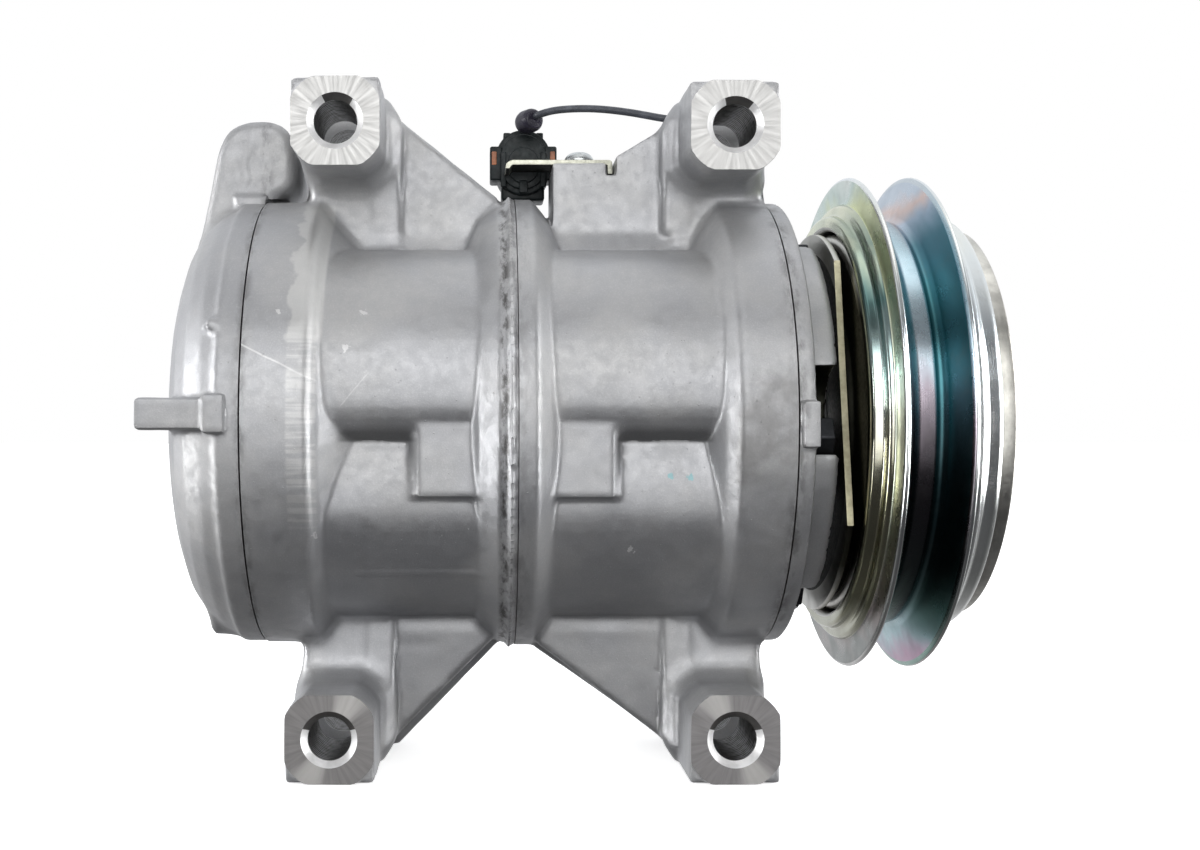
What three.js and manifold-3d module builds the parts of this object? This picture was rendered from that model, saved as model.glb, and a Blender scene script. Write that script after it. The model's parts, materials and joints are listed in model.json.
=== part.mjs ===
// Swash-plate compressor with ten cylinders for a vehicle air conditioner, with its magnetic clutch.
// Millimetres. X runs along the shaft from the rear head towards the pulley, Z is up, and the shaft
// axis is the X axis. The solids are drawn with X = 0 at the seam between the two cylinder blocks, and
// the whole group is then moved so that the origin is the end of the drive shaft. The four mounting
// ears have their machined faces towards -Y. The solids are joined and cut with manifold-3d, so every
// mesh is one closed body.
//
// Five double-ended pistons straddle an inclined swash disc. Each piston rides on two half-ball shoes
// whose balls share one centre, the point of the disc's middle plane on the piston's own axis.
import * as THREE from "three";
import { mergeVertices } from "three/addons/utils/BufferGeometryUtils.js";
import Module from "manifold-3d";

const wasm = await Module();
wasm.setup();

// Fits
const GAP = 0.15; // between parts that are screwed or stacked together
const SEAM = 0.1; // half the gap at each housing seam
const RUN = 0.06; // radial running clearance

// Cylinders and pistons
const CYLINDERS = 5;
const PITCH = 72; // degrees between cylinders
const FIRST_LOBE = 31; // degrees from -Y towards +Z of the first cylinder
const CYLINDER_CIRCLE = 34.5; // radius on which the cylinder axes lie
const BORE_R = 15;
const BORE_SIDES = 16;
const STROKE = 21.2;
const OUTER_SIDES = 36; // facets round the big diameters
const TILT = Math.atan(STROKE / 2 / CYLINDER_CIRCLE); // of the swash disc

// Swash disc and shoes
const DISC_R = 42.3;
const DISC_HALF = 4.5; // half its thickness
const DRUM_R = 20; // the oblique seat on the hub that carries the disc
const SHOE_BALL_R = 9;
const POCKET_R = 9.25;

// Housing, as distances from the centre seam
const DECK = 60; // the face the valve plate lies on
const END_SEAM = 67; // where a cylinder block meets its head
const CHAMBER = 18.6; // half the length of the swash chamber
const CHAMBER_R = 43.2;
const FLANGE_R = 60.8;
const LOBE_R = 57;
const CREASE_R = 51.5;
const RECESS_R = 53.5; // the pocket for the valve plate in each block's end
const BOLT_CIRCLE = 46;
const BOLT_R = 3;
const PASSAGE_CIRCLE = 31; // suction passages through the blocks
const BEARING_BORE_R = 12.2;

// Heads
const HEAD_FACE = 64.4;
const CHAMBER_SPLIT_R = 35; // middle of the wall between suction and discharge
const NOSE_R = 20;
const NOSE_END = 112;
const SEAL_BORE_R = 15.2;

// Mounting ears: [x, z] of each bolt hole
const EARS = { rearTop: [-45.5, 75], rearLow: [-47, -79.5], frontTop: [54.5, 74], frontLow: [54.5, -79.5] };
const EAR_HALF = 11.2; // the machined ring is trimmed to a square of this half width
const EAR_RING_R = 12.7;
const EAR_HOLE_R = 5.5;
const EAR_CHAMFER = 1.6;
const EAR_NEAR = [-45, -19]; // y of the near ear's two ends; the leg starts just before the second
const EAR_FAR = [-7, 16]; // y of the far ear's two faces
const LEG_FACE = -20; // y of the leg's face, which the near ear stands proud of
const LEG_BACK = 13;
const WEB = [7.6, 13.6]; // the web beside each ear, as distances from the hole towards the middle
const WEB_DIP = 2; // how far past the hole the web reaches between the two ears

// Clutch
const SHEAVE_R = 67.5;
const REAR_RIM_X = 91;
const FRONT_RIM_X = 107.5;
const FRICTION_X = 117.8; // the friction face of the rotor
const AIR_GAP = 0.5; // between the rotor and the armature plate
const ROTOR_BORE_R = 31;
const SHAFT_END = 123; // x of the end of the drive shaft

// Wiring
const PAD_TOP = 68.5; // the cast pad the connector's bracket is screwed to
const SCREW_X = 18;
const SCREW_Y = -6;
const STRIP = 1.6; // thickness of the bracket
const PLUG_X = 2.9;
const PLUG_Z = 73.3;

const rad = THREE.MathUtils.degToRad;
const X_AXIS = new THREE.Vector3(1, 0, 0);
const group = new THREE.Group();
group.name = "ac_compressor";
group.position.x = -SHAFT_END;

// ---------------------------------------------------------------- solids

// A manifold solid from a geometry, whichever way its faces point.
function solid(geometry) {
  const bare = new THREE.BufferGeometry();
  bare.setAttribute("position", geometry.getAttribute("position"));
  bare.setIndex(geometry.getIndex());
  const welded = mergeVertices(bare, 1e-4);
  const vertices = welded.getAttribute("position").array;
  const corners = welded.getIndex().array;
  const triangles = [];
  let volume = 0;
  for (let i = 0; i < corners.length; i += 3) {
    const [a, b, c] = [corners[i], corners[i + 1], corners[i + 2]];
    if (a === b || b === c || c === a) continue;
    triangles.push(a, b, c);
    const [p, q, r] = [a, b, c].map((k) => new THREE.Vector3().fromArray(vertices, 3 * k));
    volume += p.dot(q.cross(r));
  }
  if (volume < 0) triangles.reverse();
  return new wasm.Manifold(new wasm.Mesh({
    numProp: 3,
    vertProperties: new Float32Array(vertices),
    triVerts: new Uint32Array(triangles),
  }));
}

// A solid of revolution about X from a closed profile of [x, radius] points.
function turned(profile, sides = 48) {
  const points = profile.map(([x, r]) => new THREE.Vector2(r, x));
  if (profile[0][1] > 0 || profile.at(-1)[1] > 0) points.push(points[0].clone());
  const lathe = new THREE.LatheGeometry(points, sides);
  return solid(lathe.rotateZ(-Math.PI / 2));
}

// A rod along X from x0 to x1, on the line through (y, z).
function rod(r, x0, x1, sides = 32, y = 0, z = 0) {
  const geometry = new THREE.CylinderGeometry(r, r, Math.abs(x1 - x0), sides);
  return solid(geometry.rotateZ(-Math.PI / 2).translate((x0 + x1) / 2, y, z));
}

// A round hole along X whose flats, not its corners, are at radius r, so that a round part of r fits.
function hole(r, x0, x1, sides = 16, y = 0, z = 0) {
  return rod(r / Math.cos(Math.PI / sides), x0, x1, sides, y, z);
}

// A ring about X, as a plain washer or tube.
function ring(outer, inner, x0, x1, sides = 48) {
  return turned([[x0, inner], [x0, outer], [x1, outer], [x1, inner]], sides);
}

// A rod along Y from y0 to y1, on the line through (x, z).
function pinY(r, y0, y1, x, z, sides = 12, endR = r) {
  const geometry = new THREE.CylinderGeometry(endR, r, y1 - y0, sides);
  return solid(geometry.translate(x, (y0 + y1) / 2, z));
}

function box(x0, x1, y0, y1, z0, z1) {
  const geometry = new THREE.BoxGeometry(x1 - x0, y1 - y0, z1 - z0);
  return solid(geometry.translate((x0 + x1) / 2, (y0 + y1) / 2, (z0 + z1) / 2));
}

// A flat outline pushed along Y: outline points are [x, z].
function slabY(outline, y0, y1) {
  const shape = new THREE.Shape(outline.map(([x, z]) => new THREE.Vector2(x, z)));
  const geometry = new THREE.ExtrudeGeometry(shape, { depth: y1 - y0, bevelEnabled: false });
  return solid(geometry.rotateX(Math.PI / 2).translate(0, y1, 0));
}

// A flat outline with holes pushed along X: points are [y, z].
function slabX(outline, x0, x1, holes = []) {
  const shape = new THREE.Shape(outline.map(([y, z]) => new THREE.Vector2(y, z)));
  shape.holes = holes.map((hole) => new THREE.Path(hole.map(([y, z]) => new THREE.Vector2(y, z))));
  const geometry = new THREE.ExtrudeGeometry(shape, { depth: x1 - x0, bevelEnabled: false });
  const along = new THREE.Matrix4().makeBasis(
    new THREE.Vector3(0, 1, 0),
    new THREE.Vector3(0, 0, 1),
    new THREE.Vector3(1, 0, 0),
  );
  return solid(geometry.applyMatrix4(along).translate(x0, 0, 0));
}

// The [y, z] point at a radius, at an angle in degrees from -Y towards +Z.
function polar(angle, r) {
  return [-r * Math.cos(rad(angle)), r * Math.sin(rad(angle))];
}

function lobeAngle(i) {
  return FIRST_LOBE + PITCH * i;
}

function creaseAngle(i) {
  return FIRST_LOBE - PITCH / 2 + PITCH * i;
}

// Turn a solid built towards +Z about X, so that it points along the given angle.
function towards(angle, made) {
  return made.rotate([90 - angle, 0, 0]);
}

function joined(solids) {
  return solids.reduce((all, next) => all.add(next));
}

function cut(from, tools) {
  return tools.reduce((left, tool) => left.subtract(tool), from);
}

// Add a finished solid to the object as a named mesh.
function part(name, made, look, placing = {}) {
  const { vertProperties, triVerts } = made.simplify(0.02).getMesh();
  const geometry = new THREE.BufferGeometry();
  geometry.setAttribute("position", new THREE.BufferAttribute(Float32Array.from(vertProperties), 3));
  geometry.setIndex(new THREE.BufferAttribute(Uint32Array.from(triVerts), 1));
  geometry.computeVertexNormals();
  const [color, roughness, metalness] = look;
  const mesh = new THREE.Mesh(geometry, new THREE.MeshStandardMaterial({ color, roughness, metalness }));
  mesh.name = name;
  if (placing.position) mesh.position.copy(placing.position);
  if (placing.quaternion) mesh.quaternion.copy(placing.quaternion);
  group.add(mesh);
  return mesh;
}

// Colour, roughness, metalness
const CAST = [0xa9acaf, 0.55, 0.85];
const GROUND_STEEL = [0xb8bbbf, 0.25, 1.0];
const DARK_STEEL = [0x3a3c40, 0.45, 0.9];
const ZINC_YELLOW = [0xb9b48a, 0.3, 1.0];
const BRIGHT_STEEL = [0xc6c9cc, 0.3, 1.0];
const BRONZE = [0x9a7a4a, 0.4, 0.9];
const ALUMINIUM = [0xc2c5c8, 0.35, 0.9];
const RUBBER = [0x1c1d1f, 0.85, 0.0];
const BLACK_PLASTIC = [0x17181b, 0.5, 0.0];
const WIRE_GREY = [0x3b4149, 0.6, 0.0];
const GASKET_GREY = [0x5c5f63, 0.8, 0.1];

// ---------------------------------------------------------------- cylinder blocks

// The five-lobed outline of the blocks' waist: arcs of one radius that meet in creases.
function lobedOutline(lobe, crease) {
  const half = rad(PITCH / 2);
  const centre = (lobe ** 2 - crease ** 2) / (2 * (lobe - crease * Math.cos(half)));
  const arc = lobe - centre;
  const points = [];
  for (let i = 0; i < CYLINDERS; i += 1) {
    for (let k = 0; k < 6; k += 1) {
      const off = -half + (2 * half * k) / 6;
      const r = centre * Math.cos(off) + Math.sqrt(arc ** 2 - (centre * Math.sin(off)) ** 2);
      points.push(polar(lobeAngle(i) + THREE.MathUtils.radToDeg(off), r));
    }
  }
  return points;
}

// Mounting ear and leg. up is 1 above the body and -1 below it, and inner is the sign of x towards the
// middle of the machine. The near ear stands out from the leg, and a web ties it to the far ear.
function leg([x, z], up, inner, legX) {
  const heights = (a, b) => [up * a, up * b].sort((p, q) => p - q);
  const centre = Math.abs(z);
  const top = centre + EAR_HALF;
  const webX = WEB.map((reach) => x + inner * reach).sort((p, q) => p - q);
  const solids = [
    box(...legX, LEG_FACE, LEG_BACK, ...heights(36, centre - EAR_HALF + 3)),
    box(...webX, EAR_NEAR[0] + 3, EAR_NEAR[1], ...heights(56, top - 0.4)),
    box(...webX, LEG_FACE, LEG_BACK, ...heights(56, centre + WEB_DIP)),
    box(x - EAR_HALF, x + EAR_HALF, EAR_FAR[0], LEG_BACK, ...heights(44, centre)),
  ];
  for (const [y0, y1] of [EAR_NEAR, EAR_FAR]) {
    const outline = box(x - EAR_HALF, x + EAR_HALF, y0, y1, z - EAR_HALF, z + EAR_HALF);
    solids.push(pinY(EAR_RING_R, y0, y1, x, z, 16).intersect(outline));
    solids.push(box(x - EAR_HALF, x + EAR_HALF, y0 + 1.5, y1 - 1.5, ...heights(centre + 1, top)));
  }
  return joined(solids);
}

function earHoles([x, z]) {
  const before = EAR_NEAR[0] - 1;
  const through = pinY(EAR_HOLE_R, before, EAR_FAR[1] + 1, x, z);
  const wide = EAR_HOLE_R + EAR_CHAMFER + 1;
  const chamfer = pinY(wide, before, EAR_NEAR[0] + EAR_CHAMFER, x, z, 12, EAR_HOLE_R);
  return [through, chamfer];
}

// One cylinder block. side is -1 for the rear block and 1 for the front block.
function cylinderBlock(side, flangeProfile, extras) {
  const at = (a, b) => [side * a, side * b].sort((p, q) => p - q);
  const profile = [
    [SEAM, 0],
    ...flangeProfile,
    [40.5, 50],
    [49.5, FLANGE_R],
    [END_SEAM - SEAM, FLANGE_R],
    [END_SEAM - SEAM, 0],
  ].map(([x, r]) => [side * x, r]);
  const barrel = turned(profile, OUTER_SIDES);
  const waist = slabX(lobedOutline(LOBE_R, CREASE_R), ...at(SEAM, END_SEAM - 2));
  const body = joined([barrel, waist, ...extras]);
  const tools = [
    hole(CHAMBER_R, ...at(-1, CHAMBER), 20),
    hole(RECESS_R, ...at(DECK, END_SEAM + 1), 20),
    hole(BEARING_BORE_R, ...at(0, END_SEAM), 16),
  ];
  for (let i = 0; i < CYLINDERS; i += 1) {
    tools.push(towards(lobeAngle(i), rod(BORE_R, ...at(-1, END_SEAM), BORE_SIDES, 0, CYLINDER_CIRCLE)));
    tools.push(hole(BOLT_R + 0.3, ...at(-1, END_SEAM + 1), 8, ...polar(creaseAngle(i), BOLT_CIRCLE)));
    tools.push(rod(2.8, ...at(0, END_SEAM), 4, ...polar(creaseAngle(i), PASSAGE_CIRCLE)));
  }
  return cut(body, tools);
}

const rearExtras = [
  leg(EARS.rearTop, 1, 1, [-54, -30.4]),
  leg(EARS.rearLow, -1, 1, [-56.5, -32.8]),
  slabY([[-34, 40], [-34, 81], [-30.5, 81], [-5.4, 60], [-5.4, 40]], -18, 9),
  slabY([[-35, -40], [-35, -86.5], [-32, -86.5], [-6, -59.5], [-6, -40]], -18, 9),
  box(-26, -9.5, -58.6, -44, -18.5, -0.4),
];
const rearFlange = [[SEAM, 61.8], [2.6, 61.8], [3.6, 60.1], [7.6, 58.4], [9.6, 50]];
const oRingGroove = ring(56.8, 53.4, -1.9, 1, 24);
let rearBlock = cylinderBlock(-1, rearFlange, rearExtras);
rearBlock = cut(rearBlock, [oRingGroove, ...earHoles(EARS.rearTop), ...earHoles(EARS.rearLow)]);
part("rear_cylinder_block", rearBlock, CAST);

const frontExtras = [
  leg(EARS.frontTop, 1, -1, [42, 66]),
  leg(EARS.frontLow, -1, -1, [42, 65.5]),
  slabY([
    [10.2, 40], [10.2, 68.5], [24.7, 68.5], [24.7, 65.5], [27.3, 65.5], [27.3, 71], [42, 80],
    [47, 80], [47, 40],
  ], -17, 9),
  slabY([[6.5, -40], [6.5, -60], [42, -87], [47, -87], [47, -40]], -18, 9),
  box(8.7, 24.4, -58.6, -44, -18.5, 0.5),
];
const frontFlange = [[SEAM, 61.8], [6.9, 61.8], [7.8, 59.6], [9.6, 50]];
let frontBlock = cylinderBlock(1, frontFlange, frontExtras);
const padScrewHole = rod(2.2, -8, 8, 12).rotate([0, 90, 0]).translate([SCREW_X, SCREW_Y, PAD_TOP - 4]);
frontBlock = cut(frontBlock, [padScrewHole, ...earHoles(EARS.frontTop), ...earHoles(EARS.frontLow)]);
part("front_cylinder_block", frontBlock, CAST);
part("centre_o_ring", turned([[-1.8, 55.1], [-1, 56.1], [-0.2, 55.1], [-1, 54.1]], 20), RUBBER);

// ---------------------------------------------------------------- valve plates, reeds and gaskets

function circleHole(angle, at, r, sides = 6) {
  const [y, z] = polar(angle, at);
  const corner = r / Math.cos(Math.PI / sides);
  return Array.from({ length: sides }, (_, k) => {
    const turn = (2 * Math.PI * k) / sides;
    return [y + corner * Math.cos(turn), z + corner * Math.sin(turn)];
  });
}

function boltHoles(r = BOLT_R + 0.3) {
  return Array.from({ length: CYLINDERS }, (_, i) => circleHole(creaseAngle(i), BOLT_CIRCLE, r, 6));
}

function passageHoles(r = 2.8) {
  return Array.from({ length: CYLINDERS }, (_, i) => circleHole(creaseAngle(i), PASSAGE_CIRCLE, r, 4));
}

// The slot that frees a suction reed: a U around the suction port.
function reedSlot(angle) {
  const path = [];
  const legs = [[30.5, 6.2], [22.6, 4.6], [22.6, -4.6], [30.5, -6.2]];
  const back = [[30.5, -5.2], [23.4, -4.3], [23.4, 4.3], [30.5, 5.2]];
  for (const [out, across] of [...legs, ...back]) {
    const [y, z] = polar(angle, out);
    const [ay, az] = polar(angle + 90, across);
    path.push([y + ay, z + az]);
  }
  return path;
}

// The star of discharge reeds, with its stop, lying in the discharge chamber.
function reedStar(x0, x1) {
  const outline = [];
  for (let i = 0; i < CYLINDERS; i += 1) {
    for (const [off, r] of [[-27, 39.6], [-8, 40.4], [-5, 47.6], [5, 47.6], [8, 40.4]]) {
      outline.push(polar(lobeAngle(i) + off, r));
    }
  }
  return slabX(outline, x0, x1, [circleHole(0, 0, 37.4, 20)]);
}

// The two annular chambers that a head and its gasket leave open, with bosses round the bolts.
function headChambers(x0, x1) {
  const discharge = ring(50.5, CHAMBER_SPLIT_R + 1.5, x0, x1, 20);
  const bosses = [];
  for (let i = 0; i < CYLINDERS; i += 1) {
    bosses.push(rod(5.6, x0 - 1, x1 + 1, 6, ...polar(creaseAngle(i), BOLT_CIRCLE)));
  }
  return [cut(discharge, bosses), ring(CHAMBER_SPLIT_R - 1.5, 17, x0, x1, 16)];
}

for (const [end, side] of [["rear", -1], ["front", 1]]) {
  const at = (a, b) => [side * a, side * b].sort((p, q) => p - q);
  const shaftHole = circleHole(0, 0, 12, 10);
  const round = circleHole(0, 0, RECESS_R - 1, 18);
  const ports = [];
  const slots = [];
  for (let i = 0; i < CYLINDERS; i += 1) {
    ports.push(circleHole(lobeAngle(i), 43.2, 3.2));
    slots.push(reedSlot(lobeAngle(i)));
  }
  const suction = Array.from({ length: CYLINDERS }, (_, i) => circleHole(lobeAngle(i), 27.4, 3.6));
  const reedHoles = [shaftHole, ...ports, ...slots, ...boltHoles(), ...passageHoles()];
  part(`${end}_suction_reeds`, slabX(round, ...at(DECK + 0.05, DECK + 0.4), reedHoles), GROUND_STEEL);
  const plateHoles = [shaftHole, ...ports, ...suction, ...boltHoles(), ...passageHoles()];
  part(`${end}_valve_plate`, slabX(round, ...at(DECK + 0.45, DECK + 3.45), plateHoles), GROUND_STEEL);
  part(`${end}_discharge_reeds`, reedStar(...at(DECK + 3.5, DECK + 4.5)), GROUND_STEEL);
  const sheet = slabX(round, ...at(DECK + 3.5, DECK + 4.3), [shaftHole, ...boltHoles()]);
  const gasket = cut(sheet, headChambers(...at(DECK + 3, DECK + 5)));
  const webs = gasket.decompose().sort((a, b) => b.volume() - a.volume());
  part(`${end}_head_gasket`, webs[0], GASKET_GREY);
  const section = [[67.3, 57], [68.1, 58.0], [68.9, 57], [68.1, 56]];
  part(`${end}_head_o_ring`, turned(section.map(([x, r]) => [side * x, r]), 24), RUBBER);
}

// ---------------------------------------------------------------- heads

const HEAD_GROOVE = [[66, 55.2], [66, 58.7], [69.1, 58.7], [69.1, 55.2]];

function rearHead() {
  const dome = turned([
    [-HEAD_FACE, 0], [-HEAD_FACE, RECESS_R - 0.5], [-END_SEAM - SEAM, RECESS_R - 0.5],
    [-END_SEAM - SEAM, 60.4], [-73, 60.2], [-73.4, 59.2], [-80, 56], [-85, 50],
    [-88.2, 41], [-89.6, 26], [-89.6, 0],
  ], OUTER_SIDES);
  const tower = slabY([
    [-86.4, 30], [-85.2, 50], [-82.6, 62], [-80, 75], [-77, 80], [-72, 81.6], [-65, 81.6],
    [-61, 79.5], [-59.2, 74], [-59, 70], [-67.2, 63], [-67.2, 30],
  ], -14, 30);
  const pad = slabY([
    [-82, 46], [-82, 81], [-62.5, 81], [-62.5, 67], [-67.3, 63], [-67.3, 46],
  ], 29, 38);
  const reliefBoss = towards(211, rod(8.2, -60.2, -44, 12).rotate([0, 90, 0]).translate([-76, 0, 0]));
  const bar = box(-92, -70.5, -61.6, -52, -2.2, 5.6);
  const block = box(-75.6, -70.6, -62.6, -50, -2.8, 6.4);
  const boss = rod(7.4, -81.6, -67.2, 20, ...polar(-77, 51.3));
  const tools = [
    ...headChambers(-80, -HEAD_FACE + 1),
    turned(HEAD_GROOVE.map(([x, r]) => [-x, r]), 24),
    hole(9.6, -72, -HEAD_FACE + 1, 16),
    pinY(7.5, 8, 40, -73, 71, 16),
    pinY(6, 8, 40, -72, 54.5, 16),
    pinY(3.4, 26, 40, -65.4, 62.8, 12),
  ];
  for (let i = 0; i < CYLINDERS; i += 1) {
    tools.push(hole(BOLT_R + 0.2, -79.5, -HEAD_FACE + 1, 8, ...polar(creaseAngle(i), BOLT_CIRCLE)));
  }
  const suctionDrop = rod(6, -20, 20, 16).rotate([0, 90, 0]).translate([-73, 14, 54]);
  tools.push(suctionDrop);
  const reliefHole = towards(211, hole(5.1, -10, 10, 12).rotate([0, 90, 0]).translate([-76, 0, 54]));
  tools.push(reliefHole);
  return cut(joined([dome, tower, pad, bar, block, boss, reliefBoss]), tools);
}
part("rear_head", rearHead(), CAST);

function frontHead() {
  const shell = turned([
    [HEAD_FACE, 0], [HEAD_FACE, RECESS_R - 0.5], [END_SEAM + SEAM, RECESS_R - 0.5],
    [END_SEAM + SEAM, 60.4], [71, 60.4], [71.5, 59.8], [71.5, 52.5], [78.6, 52], [78.8, 51],
    [78.8, 28], [80.2, 24], [80.2, NOSE_R], [NOSE_END, NOSE_R], [NOSE_END, 0],
  ], OUTER_SIDES);
  const lug = box(67.6, 71.9, -62.2, -50, -6.4, 4.8);
  const tools = [
    ...headChambers(HEAD_FACE - 1, 74),
    turned(HEAD_GROOVE, 24),
    hole(10.2, HEAD_FACE - 1, 84, 20),
    hole(SEAL_BORE_R, 82, NOSE_END + 1, 24),
  ];
  for (let i = 0; i < CYLINDERS; i += 1) {
    tools.push(hole(BOLT_R + 0.3, HEAD_FACE - 1, 90, 8, ...polar(creaseAngle(i), BOLT_CIRCLE)));
    tools.push(rod(9, 72, 80, 8, ...polar(creaseAngle(i), BOLT_CIRCLE + 2)));
  }
  return cut(joined([shell, lug]), tools);
}
part("front_head", frontHead(), CAST);

// Through bolts, with their hex heads on the front head and their threads in the rear head.
const boltShank = rod(BOLT_R, -78, 72.6, 8);
const boltHead = joined([rod(5.6, 72.2, 78, 6), rod(6.6, 72.2, 73.6, 10)]);
for (let i = 0; i < CYLINDERS; i += 1) {
  const [y, z] = polar(creaseAngle(i), BOLT_CIRCLE);
  const position = new THREE.Vector3(0, y, z);
  part(`through_bolt_${i + 1}`, joined([boltShank, boltHead]), DARK_STEEL, { position });
}

// ---------------------------------------------------------------- shaft, swash plate, shoes, pistons

const SHAFT_R = 9;
const HUB_HALF = 14.4;
const shaft = turned([
  [-54, 0], [-54, 8], [-53, SHAFT_R], [98, SHAFT_R], [98, 7.6], [113, 7.6], [113, 4],
  [SHAFT_END, 4], [SHAFT_END, 0],
], 20);
part("drive_shaft", shaft, GROUND_STEEL);

// The disc leans over towards the first cylinder's side.
const [leanY, leanZ] = polar(FIRST_LOBE, 1);
const normal = new THREE.Vector3(Math.cos(TILT), Math.sin(TILT) * leanY, Math.sin(TILT) * leanZ);
const tilted = new THREE.Quaternion().setFromUnitVectors(X_AXIS, normal);
const tiltMatrix = new THREE.Matrix4().makeRotationFromQuaternion(tilted);

const drum = rod(DRUM_R, -DISC_HALF, DISC_HALF, 24).transform(tiltMatrix.toArray());
const hub = cut(joined([rod(14.6, -HUB_HALF, HUB_HALF, 20), drum]), [rod(SHAFT_R + 0.2, -20, 20, 20)]);
part("swash_hub", hub, DARK_STEEL);
const disc = ring(DISC_R, DRUM_R + 0.3, -DISC_HALF, DISC_HALF, 40);
part("swash_disc", disc, BRONZE, { quaternion: tilted });

// A shoe is the part of a ball beyond the disc's face. This one is built in front of the disc.
function shoe(side) {
  const profile = [];
  const flat = DISC_HALF + 0.05;
  const edge = Math.acos(flat / SHOE_BALL_R);
  for (let k = 0; k <= 4; k += 1) {
    const turn = (edge * k) / 4;
    profile.push([side * SHOE_BALL_R * Math.cos(turn), SHOE_BALL_R * Math.sin(turn)]);
  }
  profile[0][1] = 0;
  profile.push([side * flat, 0]);
  return turned(profile, 16);
}

// A double-ended piston about X, with its back towards +Z and its window open towards the shaft.
function piston() {
  const end = DECK - 0.35 - STROKE / 2;
  const r = BORE_R - RUN;
  const body = turned([
    [-end, 0], [-end, r], [end, r], [end, 0],
  ], BORE_SIDES);
  const backStart = DISC_R + 0.9 - CYLINDER_CIRCLE;
  const slope = Math.tan(TILT) + 0.005;
  const window = turned([[-5.4, 0], [-5.4 - slope * 17, 17], [5.4 + slope * 17, 17], [5.4, 0]], 12);
  const inside = box(-16, 16, -20, 20, -20, backStart);
  const pocket = solid(new THREE.SphereGeometry(POCKET_R, 14, 10).rotateZ(-Math.PI / 2));
  const sphere = pocket.intersect(box(-12, 12, -20, 20, -20, backStart));
  return cut(body, [window.intersect(inside), sphere]);
}

const pistonSolid = piston();
const frontShoe = shoe(1);
const rearShoe = shoe(-1);
for (let i = 0; i < CYLINDERS; i += 1) {
  const angle = lobeAngle(i);
  const [y, z] = polar(angle, CYLINDER_CIRCLE);
  const x = -Math.tan(TILT) * (leanY * y + leanZ * z);
  const centre = new THREE.Vector3(x, y, z);
  const turn = new THREE.Quaternion().setFromAxisAngle(X_AXIS, rad(90 - angle));
  part(`piston_${i + 1}`, pistonSolid, ALUMINIUM, { position: centre, quaternion: turn });
  part(`front_shoe_${i + 1}`, frontShoe, GROUND_STEEL, { position: centre, quaternion: tilted });
  part(`rear_shoe_${i + 1}`, rearShoe, GROUND_STEEL, { position: centre, quaternion: tilted });
}

// Bearings of the shaft
for (const [end, side] of [["rear", -1], ["front", 1]]) {
  const at = (a, b) => [side * a, side * b].sort((p, q) => p - q);
  part(`${end}_thrust_bearing`, ring(15, 9.4, ...at(HUB_HALF + GAP, CHAMBER - GAP), 20), GROUND_STEEL);
  part(`${end}_needle_bearing`, ring(BEARING_BORE_R - 0.2, SHAFT_R + 0.12, ...at(28, 48), 20), GROUND_STEEL);
}
part("shaft_seal", turned([
  [82.2, SHAFT_R + 0.1], [82.2, 15], [91.8, 15], [91.8, 11.5], [86, 11.5], [86, SHAFT_R + 0.1],
], 24), RUBBER);

// ---------------------------------------------------------------- clutch

// Field coil: a steel shell round the winding, on a plate with one flat side.
const PLATE_X = 82.3;
const plateFlat = towards(11.6, box(60, 120, -80, 80, 38.8, 80));
const shell = turned([
  [PLATE_X, 24.4], [PLATE_X, 52], [PLATE_X + 1.6, 52], [PLATE_X + 1.6, 50.6], [108, 50.6],
  [108, 48], [PLATE_X + 3, 48], [PLATE_X + 3, 38.6], [108, 38.6], [108, 36.2],
  [PLATE_X + 1.6, 36.2], [PLATE_X + 1.6, 24.4],
], 28);
const plateCut = plateFlat.intersect(box(60, PLATE_X + 1.6, -80, 80, -80, 80));
part("coil_shell", shell.subtract(plateCut), ZINC_YELLOW);
part("coil_winding", ring(47.8, 38.9, PLATE_X + 3.2, 107, 28), BLACK_PLASTIC);
part("coil_snap_ring", ring(24.2, NOSE_R + 0.4, 84.2, 85.8, 24), DARK_STEEL);

// Pulley: the rotor with its friction face, and the stamped sheave on its rim, as one welded part.
const pulley = turned([
  [85.4, 52.6], [85.4, 55.6], [87.6, 55.8], [88.4, 58], [90.2, 58.8], [REAR_RIM_X - 0.7, SHEAVE_R - 0.7],
  [REAR_RIM_X + 0.1, SHEAVE_R], [REAR_RIM_X + 0.9, SHEAVE_R - 0.4], [95.2, 56.6], [96.2, 55.8],
  [102.4, 55.8], [103.4, 56.6], [FRONT_RIM_X - 0.9, SHEAVE_R - 0.4], [FRONT_RIM_X - 0.1, SHEAVE_R],
  [FRONT_RIM_X + 0.7, SHEAVE_R - 0.7], [108.6, 60.2], [110.6, 59], [111.2, 56.6], [115.6, 56],
  [FRICTION_X, 55], [FRICTION_X, ROTOR_BORE_R + 3], [115.4, ROTOR_BORE_R], [88, ROTOR_BORE_R],
  [88, 34.2], [110.4, 34.2], [110.4, 52.6],
], OUTER_SIDES);
part("pulley", pulley, ZINC_YELLOW);

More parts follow.
